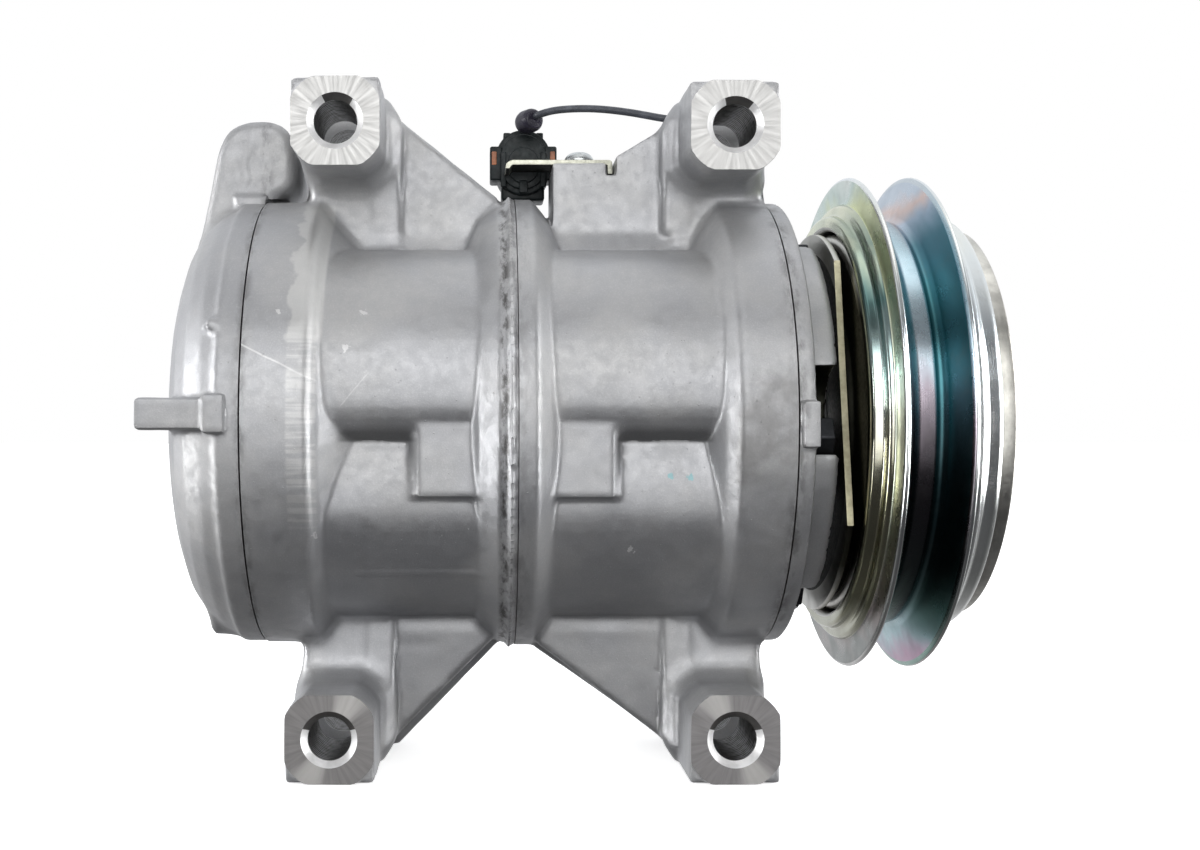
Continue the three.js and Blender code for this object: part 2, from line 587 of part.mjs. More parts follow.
// Pulley bearing on the nose of the front head
const BALL_X = 99;
part("bearing_inner_race", turned([
  [88.4, NOSE_R + 0.5], [88.4, 23.4], [BALL_X - 3, 23.4], [BALL_X, 22.4], [BALL_X + 3, 23.4],
  [107.6, 23.4], [107.6, NOSE_R + 0.5],
], 20), GROUND_STEEL);
part("bearing_outer_race", turned([
  [88.6, ROTOR_BORE_R - 0.2], [88.6, 28], [BALL_X - 3, 28], [BALL_X, 29], [BALL_X + 3, 28],
  [112, 28], [112, ROTOR_BORE_R - 0.3],
], 20), GROUND_STEEL);
const balls = [ring(26.4, 24.9, BALL_X - 1.6, BALL_X + 1.6, 12)];
for (let i = 0; i < 7; i += 1) {
  const ball = solid(new THREE.SphereGeometry(2.7, 6, 4).translate(BALL_X, 0, 25.7));
  balls.push(ball.rotate([(360 / 7) * i, 0, 0]));
}
part("bearing_balls_and_cage", joined(balls), GROUND_STEEL);

// Armature plate, hub and the three leaf springs that hold the plate off the rotor
const ARMATURE_X = FRICTION_X + AIR_GAP;
part("armature_plate", ring(52.6, 30.5, ARMATURE_X, ARMATURE_X + 3.6, 40), BRIGHT_STEEL);
const hubFlange = [];
for (let k = 0; k < 3; k += 1) {
  for (const [off, r] of [[-42, 16.4], [-22, 19], [-9, 27.6], [9, 27.6], [22, 19]]) {
    hubFlange.push(polar(90 + 120 * k + off, r));
  }
}
const clutchHub = cut(
  joined([rod(11.4, 99, 121, 24), slabX(hubFlange, 118.6, 121.4)]),
  [rod(7.8, 98, 113.3, 24), rod(4.4, 110, 124, 16)],
);
part("clutch_hub", clutchHub, BRIGHT_STEEL);
// One leaf of the spring as [angle, radius]; its tip is riveted to the plate.
const LEAF = [
  [-60, 15.2], [-14, 21], [-6, 28], [10, 42], [16, 46.6], [25, 46.6], [27, 42], [12, 25], [30, 15.2],
];
const springOutline = [];
for (let k = 0; k < 3; k += 1) {
  for (const [off, r] of LEAF) {
    springOutline.push(polar(90 + 120 * k + off, r));
  }
}
const leafSpring = slabX(springOutline, ARMATURE_X + 3.75, ARMATURE_X + 4.55, [circleHole(0, 0, 9.4, 16)]);
part("leaf_spring", leafSpring, BRIGHT_STEEL);
const nut = joined([rod(7.2, 121.55, 127, 6), rod(8.2, 121.55, 122.8, 16)]);
part("hub_nut", cut(nut, [rod(4.2, 121, 128, 16)]), DARK_STEEL);

// ---------------------------------------------------------------- wiring and small fittings

// A cord of round section along a smooth curve through points.
function cord(points, r, steps, sides = 8) {
  const route = points.map((p) => new THREE.Vector3(...p));
  const path = new THREE.CatmullRomCurve3(route, false, "centripetal");
  const shape = new THREE.Shape().absarc(0, 0, r, 0, 2 * Math.PI);
  const options = { steps, extrudePath: path, curveSegments: sides, bevelEnabled: false };
  return solid(new THREE.ExtrudeGeometry(shape, options));
}

const stripLow = PAD_TOP + GAP;
const strip = slabY([
  [-2.4, stripLow - 1.6], [-2.4, stripLow + 0.6], [-1.4, stripLow + STRIP], [26.7, stripLow + STRIP],
  [26.7, stripLow - 2.2], [25.1, stripLow - 2.2], [25.1, stripLow], [-0.6, stripLow],
  [-0.8, stripLow - 1.6],
], SCREW_Y - 6, SCREW_Y + 6);
const stripHole = rod(2.3, -6, 6, 12).rotate([0, 90, 0]).translate([SCREW_X, SCREW_Y, PAD_TOP]);
const bracket = strip.subtract(stripHole);
part("connector_bracket", bracket, BRIGHT_STEEL);
const screwTop = PAD_TOP + GAP + STRIP + 0.1;
const screw = joined([
  rod(2, -0.4, 8.5, 8).rotate([0, 90, 0]),
  turned([[0, 0], [0, 4], [-0.9, 4], [-2.3, 3.1], [-2.9, 1.8], [-2.9, 0]], 16).rotate([0, 90, 0]),
]);
part("bracket_screw", screw, BRIGHT_STEEL, { position: new THREE.Vector3(SCREW_X, SCREW_Y, screwTop) });

// Round plug housing over the centre flange, with a latch at each side and a boot for the lead on top.
const plug = joined([
  pinY(8.4, 1.6, 17, PLUG_X, PLUG_Z, 20),
  box(PLUG_X - 9.6, PLUG_X + 9.6, 2.4, 9, PLUG_Z - 3, PLUG_Z + 4),
  box(PLUG_X - 5, PLUG_X + 5.4, 4, 13, PLUG_Z + 4, PLUG_Z + 9.2),
]);
part("plug_housing", plug, BLACK_PLASTIC);
const boot = turned([[0, 0], [0, 3], [5, 3.3], [6.4, 2.7], [6.4, 0]], 16).rotate([0, 0, -62]);
part("wire_boot", boot.translate([PLUG_X, -0.4, PLUG_Z + 11]), RUBBER);

// The lead passes between the two front top ears and down behind them to the back of the coil.
const lead = cord([
  [6.3, -6.8, 84.4], [8.6, -8.2, 85], [12, -8.6, 85.6], [17, -8.8, 85.9], [24, -9.5, 85.7],
  [34, -11.2, 84], [43, -13, 81.6], [54, -13.6, 81.4], [63, -13.4, 80.8], [67.8, -9, 78.4],
  [69.4, 0, 73.6], [70.6, 10, 68], [72.6, 17, 62.6], [76, 20.4, 57], [81, 20.6, 49],
], 1, 26, 4);
part("coil_lead", lead, WIRE_GREY);

// Pressure relief valve, screwed into the discharge chamber of the rear head.
const relief = joined([rod(4.9, -50.8, -61, 12), rod(7.2, -60.6, -66, 6), rod(4.6, -66, -69, 12)]);
part("relief_valve", towards(211, relief.rotate([0, 90, 0]).translate([-76, 0, 0])), BRONZE);

export default group;
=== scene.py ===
"""Looks of an air conditioning compressor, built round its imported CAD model.

Shapes are drawn in millimetres in the machine's own drawing frame: x runs along the shaft towards the
pulley, with zero at the seam between the two cylinder blocks, z is up, and y = z = 0 is the shaft axis.
Castings are signed distance fields, which give them real fillets, and machined faces are cut into them.
"""

import json
import math
from contextlib import contextmanager

import bmesh
import bpy
import numpy as np
import openvdb
from mathutils import Matrix, Vector


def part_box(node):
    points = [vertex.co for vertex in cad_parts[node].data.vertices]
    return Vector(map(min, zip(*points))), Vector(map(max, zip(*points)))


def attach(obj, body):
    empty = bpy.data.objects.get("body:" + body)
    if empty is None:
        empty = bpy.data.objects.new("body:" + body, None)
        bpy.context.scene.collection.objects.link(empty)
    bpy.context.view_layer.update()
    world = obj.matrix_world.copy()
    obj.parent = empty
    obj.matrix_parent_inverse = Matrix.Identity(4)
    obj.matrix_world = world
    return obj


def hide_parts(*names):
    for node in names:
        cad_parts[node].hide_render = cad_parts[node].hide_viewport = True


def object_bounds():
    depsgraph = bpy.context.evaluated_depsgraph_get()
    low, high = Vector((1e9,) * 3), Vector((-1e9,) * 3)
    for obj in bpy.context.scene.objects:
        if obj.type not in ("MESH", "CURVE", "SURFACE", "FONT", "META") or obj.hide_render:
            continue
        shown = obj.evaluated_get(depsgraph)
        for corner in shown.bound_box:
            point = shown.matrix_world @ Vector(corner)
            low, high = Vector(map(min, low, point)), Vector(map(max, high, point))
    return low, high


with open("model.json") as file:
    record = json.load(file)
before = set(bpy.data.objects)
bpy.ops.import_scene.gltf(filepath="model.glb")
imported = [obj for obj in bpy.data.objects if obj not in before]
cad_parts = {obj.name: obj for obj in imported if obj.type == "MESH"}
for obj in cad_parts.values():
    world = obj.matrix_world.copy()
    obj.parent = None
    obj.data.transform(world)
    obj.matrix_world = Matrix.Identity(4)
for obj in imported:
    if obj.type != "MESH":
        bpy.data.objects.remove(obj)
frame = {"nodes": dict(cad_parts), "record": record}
cad_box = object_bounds()

MM = 0.001
SEAM_X = (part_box("rear_cylinder_block")[1].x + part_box("front_cylinder_block")[0].x) / 2
TO_FRAME = Matrix.Translation((SEAM_X, 0, 0)) @ Matrix.Scale(MM, 4)
MOUNTS = {mount["name"]: mount for mount in frame["record"]["mounts"]}

# Cylinders
CYLINDERS = 5
PITCH = 72  # degrees from one cylinder to the next
FIRST_LOBE = 31  # degrees, as polar counts them
CYLINDER_CIRCLE = 34.5
BORE_R = 15
BORE_PLAY = 0.08  # keeps the bores clear of the pistons
CHAMBER_R = 43.2
BOLT_CIRCLE = 46

# Housing
END_SEAM = 67
DECK = 60  # where the cylinders end and the valve plates lie
CHAMBER = 18.6  # depth of each block's half of the swash chamber
SHAFT_HOLE_R = 12.2
BOLT_HOLE_R = 3.3
FLANGE_R = 60.8
LOBE_R = 57
LOBE_CENTRE = 13
CREASE_R = 50.8
LOBE_TURN = -1.2
STEEP_LEAN = 64  # degrees by which one side of a lobe leans over, and then the other
EASY_LEAN = 28
SHOULDER_ROUND = 9
RECESS_R = 53.5
TOWER_Y = -13.5
PORT_FACE_Y = 38
VALVE_X = -76
VALVE_ANGLE = 211
SEAM_GAP = 0.1
END_GAP = 0.24
OVERRUN = 3  # how far a casting is drawn past the plane that trims it

# Mounting ears
MOUNT_BESIDE = 8.9
EAR_HALF = 11.2
EAR_RING_R = 12.7
EAR_HOLE_R = 5.5
EAR_CHAMFER_R = 7.1
EAR_FACE_Y = -45
EAR_BACK_Y = 16
WEB_BACK_Y = 13
BOSS_ROOT_Y = -18
BACK_BOSS_Y = -7
FLANK = 1.3  # how far the square part of an ear stops short of its milled faces
CHAMFER_DEEP = 1.9

# Clutch
WHEEL_R = 67.5
ARMS = (90, 210, 330)  # degrees, as polar counts them
CHORD_ANGLE = 11.6


def drawn(node):
    """The lowest and highest corner of a CAD node in the drawing frame."""
    return [np.array([(p.x - SEAM_X) / MM, p.y / MM, p.z / MM]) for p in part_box(node)]


def ear_centre(name):
    """x and z of a mounting ear's hole, from its mount, whose point lies beside the hole."""
    x, _, z = MOUNTS[f"ear_{name}_face"]["pos_m"]
    return (x - SEAM_X) / MM - MOUNT_BESIDE, z / MM


EARS = {name: ear_centre(name) for name in ("rear_top", "rear_low", "front_top", "front_low")}


def polar(angle, r):
    """y and z at a radius, at an angle in degrees from -y towards +z."""
    return -r * math.cos(math.radians(angle)), r * math.sin(math.radians(angle))


def lobe_angle(i):
    return FIRST_LOBE + PITCH * i


def crease_angle(i):
    return FIRST_LOBE - PITCH / 2 + PITCH * i


# ---------------------------------------------------------------- signed distance fields

CAST_STEP = 0.9  # millimetres from one grid point to the next
FAR = 9.0
PAST_AXIS = -20.0


def length(*parts):
    return np.sqrt(sum(p * p for p in parts))


def box_like(gaps, r):
    """Distance to a rounded box-like shape from the distances beyond each of its pairs of faces."""
    inner = gaps[0] + r
    outside = np.maximum(gaps[0] + r, 0) ** 2
    for gap in gaps[1:]:
        inner = np.maximum(inner, gap + r)
        outside = outside + np.maximum(gap + r, 0) ** 2
    return np.minimum(inner, 0) + np.sqrt(outside) - r


def span(v, low, high):
    return np.abs(v - (low + high) / 2) - (high - low) / 2


def polygon(points, u, v):
    """Signed distance in a plane to a closed polygon."""
    nearest = np.full(np.broadcast(u, v).shape, 1e9)
    inside = np.zeros(nearest.shape, bool)
    for (au, av), (bu, bv) in zip(points, points[1:] + points[:1]):
        eu, ev = bu - au, bv - av
        wu, wv = u - au, v - av
        t = np.clip((wu * eu + wv * ev) / (eu * eu + ev * ev), 0, 1)
        nearest = np.minimum(nearest, (wu - t * eu) ** 2 + (wv - t * ev) ** 2)
        crosses = ((av > v) != (bv > v)) & (u < (bu - au) * (v - av) / ((bv - av) or 1e-9) + au)
        inside = inside ^ crosses
    return np.where(inside, -1, 1) * np.sqrt(nearest)


def block(x0, x1, y0, y1, z0, z1, r=1.0):
    def distance(x, y, z):
        return box_like([span(x, x0, x1), span(y, y0, y1), span(z, z0, z1)], r)

    return distance, (x0, y0, z0), (x1, y1, z1)


def bar_x(radius, x0, x1, y0, z0, r=1.0):
    def distance(x, y, z):
        return box_like([span(x, x0, x1), length(y - y0, z - z0) - radius], r)

    return distance, (x0, y0 - radius, z0 - radius), (x1, y0 + radius, z0 + radius)


def lug(x0, x1, y0, y1, z0, z1, side, chamfer=2.4):
    """A block with its near edge chamfered on one side: -1 for low x, 1 for high x."""
    corner = x0 if side < 0 else x1

    def distance(x, y, z):
        plain = box_like([span(x, x0, x1), span(y, y0, y1), span(z, z0, z1)], 0.7)
        return np.maximum(plain, (chamfer + side * (x - corner) - (y - y0)) * 0.707)

    return distance, (x0, y0, z0), (x1, y1, z1)


def stub(radius, half, y0, y1, x0, z0, r=1.0):
    """A round bar along y, trimmed to a square."""

    def distance(x, y, z):
        outline = [length(x - x0, z - z0) - radius, np.abs(x - x0) - half, np.abs(z - z0) - half]
        return box_like([span(y, y0, y1), np.maximum(np.maximum(outline[0], outline[1]), outline[2])], r)

    return distance, (x0 - half, y0, z0 - half), (x0 + half, y1, z0 + half)


def slab(outline, y0, y1, r=1.0, lean=0.0, lean_z=0.0):
    """A flat shape of [x, z] points across y. Its front leans back by lean per mm beyond |z| = lean_z."""
    xs, zs = zip(*outline)

    def distance(x, y, z):
        flat = polygon(outline, x, z)
        front = y0 + lean * np.maximum(np.abs(z) - lean_z, 0)
        return box_like([np.maximum(front - y, y - y1), flat], r)

    return distance, (min(xs), y0, min(zs)), (max(xs), y1, max(zs))


def ball(x0, y0, z0, radius):
    def distance(x, y, z):
        return length(x - x0, y - y0, z - z0) - radius

    return distance, (x0 - radius, y0 - radius, z0 - radius), (x0 + radius, y0 + radius, z0 + radius)


def capsule(a, b, radius):
    a, b = np.array(a, float), np.array(b, float)
    along = b - a

    def distance(x, y, z):
        px, py, pz = x - a[0], y - a[1], z - a[2]
        t = np.clip((px * along[0] + py * along[1] + pz * along[2]) / (along @ along), 0, 1)
        return length(px - t * along[0], py - t * along[1], pz - t * along[2]) - radius

    return distance, np.minimum(a, b) - radius, np.maximum(a, b) + radius


def spun(profile):
    """A solid of revolution about the shaft axis, from a closed profile of [x, radius] points."""
    # points on the axis are taken past it, so that no distance is measured to the axis itself
    points = [(x, r if r > 0 else PAST_AXIS) for x, r in profile]
    xs, rs = zip(*points)
    sample = 0.25

    def distance(x, y, z):
        radius = length(y, z)[0] / sample
        cell = radius.astype(int)
        t = radius - cell
        radii = np.arange(0, cell.max() + 2) * sample
        table = polygon(points, x[:, :, 0], radii[None, :])
        return table[:, cell] * (1 - t) + table[:, cell + 1] * t

    return distance, (min(xs), -max(rs), -max(rs)), (max(xs), max(rs), max(rs))


def lobed(x0, x1):
    """The blocks' waist: a lobe over each cylinder, nearly flat on top, with round shoulders."""

    def distance(x, y, z):
        angle = np.degrees(np.arctan2(z, -y)) - FIRST_LOBE - LOBE_TURN
        off = np.radians(np.mod(angle + PITCH / 2, PITCH) - PITCH / 2)
        lean = np.radians(np.where(off < 0, STEEP_LEAN, EASY_LEAN))
        r = length(y, z)
        top = length(r * np.cos(off) - LOBE_CENTRE, r * np.sin(off)) - (LOBE_R - LOBE_CENTRE)
        side = r * np.cos(math.radians(PITCH / 2) + lean - np.abs(off)) - CREASE_R * np.cos(lean)
        return np.maximum(-eased_min(-top, -side, SHOULDER_ROUND), span(x, x0, x1))

    return distance, (x0, -LOBE_R, -LOBE_R), (x1, LOBE_R, LOBE_R)


def eased_min(a, b, width):
    """The smaller of two distances, with a fillet where they are within width of each other."""
    if width <= 0:
        return np.minimum(a, b)
    near = np.maximum(width - np.abs(a - b), 0) / width
    return np.minimum(a, b) - near * near * width / 4


class Casting:
    """Signed distances in millimetres on a grid, negative inside the metal."""

    def __init__(self, low, high, step=CAST_STEP):
        counts = [math.ceil((b - a) / step) + 1 for a, b in zip(low, high)]
        self.step = step
        self.axes = [a + step * np.arange(n) for a, n in zip(low, counts)]
        self.field = np.full(counts, FAR, np.float32)

    def _near(self, shape, fillet):
        distance, low, high = shape
        reach = fillet + 4 * self.step
        spans = []
        for axis, a, b in zip(self.axes, low, high):
            first, last = np.searchsorted(axis, (a - reach, b + reach))
            spans.append(slice(first, max(last, first + 1)))
        spans = tuple(spans)
        grid = np.ix_(*[axis[s] for axis, s in zip(self.axes, spans)])
        return spans, distance(*grid).astype(np.float32)

    def add(self, shape, fillet=0.0):
        spans, distance = self._near(shape, fillet)
        self.field[spans] = eased_min(self.field[spans], distance, fillet)

    def cut(self, shape, fillet=0.0):
        spans, distance = self._near(shape, fillet)
        self.field[spans] = -eased_min(-self.field[spans], distance, fillet)

    def ripple(self, wavelength, height, seed):
        """Uneven skin of a sand casting: smooth noise added to the distances."""
        counts = self.field.shape
        noise = np.random.default_rng(seed).normal(
            size=[int(n * self.step / wavelength) + 3 for n in counts]
        )
        for axis, n in enumerate(counts):
            place = np.arange(n) * self.step / wavelength
            cell = place.astype(int)
            t = place - cell
            t = (t * t * (3 - 2 * t)).reshape([-1 if k == axis else 1 for k in range(3)])
            noise = np.take(noise, cell, axis) * (1 - t) + np.take(noise, cell + 1, axis) * t
        self.field += (height * noise).astype(np.float32)

    def skin(self, name):
        """The mesh of the surface, as an object drawn in millimetres."""
        band = 3 * self.step
        grid = openvdb.FloatGrid(background=band)
        grid.copyFromArray(np.clip(self.field, -band, band))
        points, quads = grid.convertToQuads(isovalue=0.0)
        origin = np.array([axis[0] for axis in self.axes])
        return mesh_object(name, points * self.step + origin, quads)


# ---------------------------------------------------------------- meshes

WELD_GAP = 1e-4
BEVEL_ANGLE = 30
SHARP_ANGLE = 35


def linked(name, data):
    """A new object in the scene."""
    obj = bpy.data.objects.new(name, data)
    bpy.context.scene.collection.objects.link(obj)
    return obj


@contextmanager
def edited(obj):
    """The object's mesh, opened for editing and written back at the end."""
    made = bmesh.new()
    made.from_mesh(obj.data)
    yield made
    made.to_mesh(obj.data)
    made.free()


def baked(obj):
    """The mesh of an object with its modifiers applied."""
    whole = bpy.context.evaluated_depsgraph_get()
    return bpy.data.meshes.new_from_object(obj.evaluated_get(whole))


def mesh_object(name, points, faces):
    """An object in the scene from points and faces, wound so that its faces point out."""
    mesh = bpy.data.meshes.new(name)
    mesh.from_pydata([tuple(map(float, p)) for p in points], [], [tuple(map(int, f)) for f in faces])
    return faced_out(linked(name, mesh))


def faced_out(obj):
    with edited(obj) as made:
        if made.calc_volume(signed=True) < 0:
            bmesh.ops.reverse_faces(made, faces=made.faces)
    return obj


def turned(name, profile, segments=160):
    """A solid of revolution about x from a closed profile of [x, radius] points."""
    angles = np.linspace(0, 2 * np.pi, segments, endpoint=False)
    points = [(x, -r * math.cos(a), r * math.sin(a)) for x, r in profile for a in angles]
    count = len(profile)
    faces = []
    for i in range(count):
        j = (i + 1) % count
        if profile[i][1] == 0 and profile[j][1] == 0:
            continue
        for k in range(segments):
            m = (k + 1) % segments
            faces.append((i * segments + k, j * segments + k, j * segments + m, i * segments + m))
    return welded(mesh_object(name, points, faces))


def welded(obj):
    with edited(obj) as made:
        bmesh.ops.remove_doubles(made, verts=made.verts, dist=WELD_GAP)
        bmesh.ops.dissolve_degenerate(made, edges=made.edges, dist=WELD_GAP)
        bmesh.ops.recalc_face_normals(made, faces=made.faces)
    return faced_out(obj)


def eased(points, radius, steps=4):
    """A closed outline with its corners rounded. radius is one number, or one for each corner."""
    count = len(points)
    radii = [radius] * count if np.isscalar(radius) else radius
    out = []
    for i, (point, r) in enumerate(zip(points, radii)):
        p = np.array(point, float)
        before = np.array(points[i - 1], float) - p
        after = np.array(points[(i + 1) % count], float) - p
        reach = min(r, 0.48 * np.linalg.norm(before), 0.48 * np.linalg.norm(after))
        if reach <= 0:
            out.append(tuple(p))
            continue
        start = p + before / np.linalg.norm(before) * reach
        end = p + after / np.linalg.norm(after) * reach
        for k in range(steps + 1):
            t = k / steps
            out.append(tuple((1 - t) ** 2 * start + 2 * t * (1 - t) * p + t * t * end))
    return out


def between(name, along, ends):
    """A solid between two outlines across an axis. Each end is its place on the axis and its outline."""
    order = {"x": (0, 1, 2), "y": (1, 0, 2), "z": (2, 0, 1)}[along]
    points = []
    for level, outline in ends:
        for u, v in outline:
            point = [0.0, 0.0, 0.0]
            point[order[0]], point[order[1]], point[order[2]] = level, u, v
            points.append(point)
    n = len(ends[0][1])
    faces = [tuple(range(n)), tuple(range(2 * n - 1, n - 1, -1))]
    faces += [(k, (k + 1) % n, n + (k + 1) % n, n + k) for k in range(n)]
    return welded(mesh_object(name, points, faces))


def prism(name, outline, along, low, high, bevel=0.0):
    """A flat outline pushed along an axis. Its points are the other two coordinates, in order."""
    obj = between(name, along, [(low, outline), (high, outline)])
    return bevelled(obj, bevel) if bevel else obj


def box(name, x0, x1, y0, y1, z0, z1, bevel=0.0):
    return prism(name, [(x0, y0), (x1, y0), (x1, y1), (x0, y1)], "z", z0, z1, bevel)


def bevelled(obj, width, steps=3):
    look = {"profile": 0.5, "affect": "EDGES", "clamp_overlap": True}
    with edited(obj) as made:
        edges = [e for e in made.edges if e.calc_face_angle(0) > math.radians(BEVEL_ANGLE)]
        bmesh.ops.bevel(made, geom=edges, offset=width, segments=steps, **look)
    return obj


def ring(radius, u, v, count):
    """The corners of a regular outline round a centre."""
    angles = [2 * math.pi * k / count for k in range(count)]
    return [(u + radius * math.cos(a), v + radius * math.sin(a)) for a in angles]


def rod(name, radius, axis, low, high, u, v, segments=48, end_radius=None):
    """A round bar or cone along an axis letter, through the other two coordinates u and v."""
    far = radius if end_radius is None else end_radius
    return between(name, axis, [(low, ring(radius, u, v, segments)), (high, ring(far, u, v, segments))])


def boolean(obj, tool, operation):
    change = obj.modifiers.new(operation, "BOOLEAN")
    change.operation = operation
    change.object = tool
    change.solver = "MANIFOLD"
    mesh = baked(obj)
    # a failed change leaves no faces, or as many as before, and the slower solver then tries it
    if len(mesh.polygons) in (0, len(obj.data.polygons)):
        change.solver = "EXACT"
        mesh = baked(obj)
    obj.modifiers.clear()
    obj.data = mesh
    bpy.data.objects.remove(tool)
    return obj


def cut(obj, *tools):
    for tool in tools:
        boolean(obj, tool, "DIFFERENCE")
    return obj


def joined(obj, *others):
    for other in others:
        boolean(obj, other, "UNION")
    return obj


def grouped(name, pieces):
    """Several solids as one object, without a boolean."""
    made = bmesh.new()
    for piece in pieces:
        made.from_mesh(piece.data)
        bpy.data.objects.remove(piece)
    mesh = bpy.data.meshes.new(name)
    made.to_mesh(mesh)
    made.free()
    return linked(name, mesh)


def turn_x(obj, degrees):
    """Turns what is drawn towards +z so that it points at an angle from -y towards +z."""
    obj.data.transform(Matrix.Rotation(math.radians(90 - degrees), 4, "X"))
    return obj


def faces_of(obj):
    """Centres and normals of an object's faces."""
    count = len(obj.data.polygons)
    centres = np.zeros(count * 3)
    normals = np.zeros(count * 3)
    obj.data.polygons.foreach_get("center", centres)
    obj.data.polygons.foreach_get("normal", normals)
    return centres.reshape(-1, 3), normals.reshape(-1, 3)


def painted(obj, *materials):
    """Gives an object its materials. Each after the first comes with a test of centres and normals."""
    obj.data.materials.clear()
    obj.data.materials.append(materials[0])
    centres, normals = faces_of(obj)
    index = np.zeros(len(centres), np.int32)
    for k, (material, where) in enumerate(materials[1:], 1):
        obj.data.materials.append(material)
        index[where(centres, normals)] = k
    obj.data.polygons.foreach_set("material_index", index)
    return obj


def shaded(obj, angle):
    """Smooth shading with the edges above an angle kept sharp."""
    mesh = obj.data
    _, normals = faces_of(obj)
    totals = np.zeros(len(mesh.polygons), np.int32)
    mesh.polygons.foreach_get("loop_total", totals)
    edges = np.zeros(len(mesh.loops), np.int32)
    mesh.loops.foreach_get("edge_index", edges)
    owner = np.repeat(np.arange(len(totals)), totals)
    order = np.argsort(edges, kind="stable")
    edges, owner = edges[order], owner[order]
    pair = edges[1:] == edges[:-1]
    bend = np.sum(normals[owner[1:]] * normals[owner[:-1]], axis=1) < math.cos(math.radians(angle))
    sharp = np.zeros(len(mesh.edges), bool)
    sharp[edges[1:][pair & bend]] = True
    mesh.edges.foreach_set("use_edge_sharp", sharp)
    mesh.polygons.foreach_set("use_smooth", np.ones(len(totals), bool))
    mesh.update()
    return obj


def placed(obj, body, slot, nodes, *looks, angle=SHARP_ANGLE):
    """Paints and shades a finished piece, moves it from the drawing to the frame, and puts it on its body."""
    painted(obj, *looks)
    shaded(obj, angle)
    obj.data.transform(TO_FRAME)
    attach(obj, body)
    if nodes:
        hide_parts(*nodes)


# ---------------------------------------------------------------- materials


def feed(tree, socket, value):
    """Links a socket to the value's socket, or sets a constant on it. Colours may leave out alpha."""
    if isinstance(value, bpy.types.NodeSocket):
        tree.links.new(value, socket)
    elif isinstance(value, tuple) and len(value) < len(socket.default_value):
        socket.default_value = (*value, 1)
    else:
        socket.default_value = value


def add_node(tree, kind, inputs, **settings):
    """Adds a shader node and returns its outputs. Its inputs are given by number or name."""
    node = tree.nodes.new("ShaderNode" + kind)
    for name, value in settings.items():
        setattr(node, name, value)
    for key, value in inputs.items():
        feed(tree, node.inputs[key], value)
    return node.outputs


def ramp(tree, value, stops):
    """A colour ramp through stops of a place from 0 to 1 and a colour, in order."""
    node = tree.nodes.new("ShaderNodeValToRGB")
    feed(tree, node.inputs[0], value)
    elements = node.color_ramp.elements
    while len(elements) < len(stops):
        elements.new(0.5)
    for element, (place, color) in zip(elements, stops):
        element.position = place
        element.color = (*color, 1)
    return node.outputs[0]


class Shader:
    """A material with a principled shader, and short ways to add nodes to it."""

    def __init__(self, name, color=(0.5, 0.5, 0.5), metallic=0.0, roughness=0.5):
        self.material = bpy.data.materials.new(name)
        self.material.use_nodes = True
        self.tree = self.material.node_tree
        self.shader = self.tree.nodes["Principled BSDF"]
        self.set("Base Color", color)
        self.set("Metallic", metallic)
        self.set("Roughness", roughness)
        self.place = None

    def set(self, name, value):
        feed(self.tree, self.shader.inputs[name], value)

    def add(self, kind, inputs, **settings):
        return add_node(self.tree, kind, inputs, **settings)

    def point(self):
        """The point being shaded, in millimetres in the drawing frame."""
        if self.place is None:
            moved = self.vector("SUBTRACT", self.add("TexCoord", {})["Object"], (SEAM_X, 0, 0))
            self.place = self.add("VectorMath", {0: moved, "Scale": 1 / MM}, operation="SCALE")[0]
        return self.place

    def vector(self, operation, a, b):
        return self.add("VectorMath", {0: a, 1: b}, operation=operation)[0]

    def length(self, vector):
        return self.add("VectorMath", {0: vector}, operation="LENGTH")["Value"]

    def math(self, operation, a, b=0.0, c=0.0):
        return self.add("Math", {0: a, 1: b, 2: c}, operation=operation)[0]

    def times(self, first, *others):
        for other in others:
            first = self.math("MULTIPLY", first, other)
        return first

    def less(self, a, b):
        return self.math("SUBTRACT", a, b)

    def split(self):
        """x, y and z of the point being shaded."""
        return self.add("SeparateXYZ", {0: self.point()})

    def pair(self, a, b):
        """A vector from two values."""
        return self.add("CombineXYZ", {0: a, 1: b})[0]

    def from_shaft(self):
        """Distance from the shaft axis."""
        return self.length(self.vector("MULTIPLY", self.point(), (0, 1, 1)))

    def noise(self, scale, detail=3.0, rough=0.55, stretch=(1, 1, 1), distortion=0.0):
        """Noise with scale cells per millimetre, from 0 to 1."""
        place = self.vector("MULTIPLY", self.point(), stretch)
        inputs = {"Vector": place, "Scale": scale, "Detail": detail, "Roughness": rough}
        return self.add("TexNoise", {**inputs, "Distortion": distortion})["Fac"]

    def cells(self, scale):
        """Distance to the nearest of scattered points, with scale points per millimetre."""
        return self.add("TexVoronoi", {"Vector": self.point(), "Scale": scale})["Distance"]

    def span(self, value, low, high, to_low=0.0, to_high=1.0):
        """value taken from low..high to to_low..to_high, smoothly and clamped."""
        inputs = {"Value": value, "From Min": low, "From Max": high, "To Min": to_low, "To Max": to_high}
        return self.add("MapRange", inputs, interpolation_type="SMOOTHSTEP")["Result"]

    def band(self, value, low, high, soft):
        """1 between low and high, falling to 0 over soft beyond them."""
        return self.times(self.span(value, low - soft, low), self.span(value, high, high + soft, 1, 0))

    def mix(self, factor, a, b):
        return self.add("Mix", {"Factor": factor, 6: a, 7: b}, data_type="RGBA")[2]

    def bump(self, height, depth):
        """Bump from a height of 0 to 1 that stands for depth millimetres, on top of any bump so far."""
        inputs = {"Strength": 1.0, "Distance": depth * MM, "Height": height}
        so_far = self.shader.inputs["Normal"].links
        if so_far:
            inputs["Normal"] = so_far[0].from_socket
        self.set("Normal", self.add("Bump", inputs)[0])


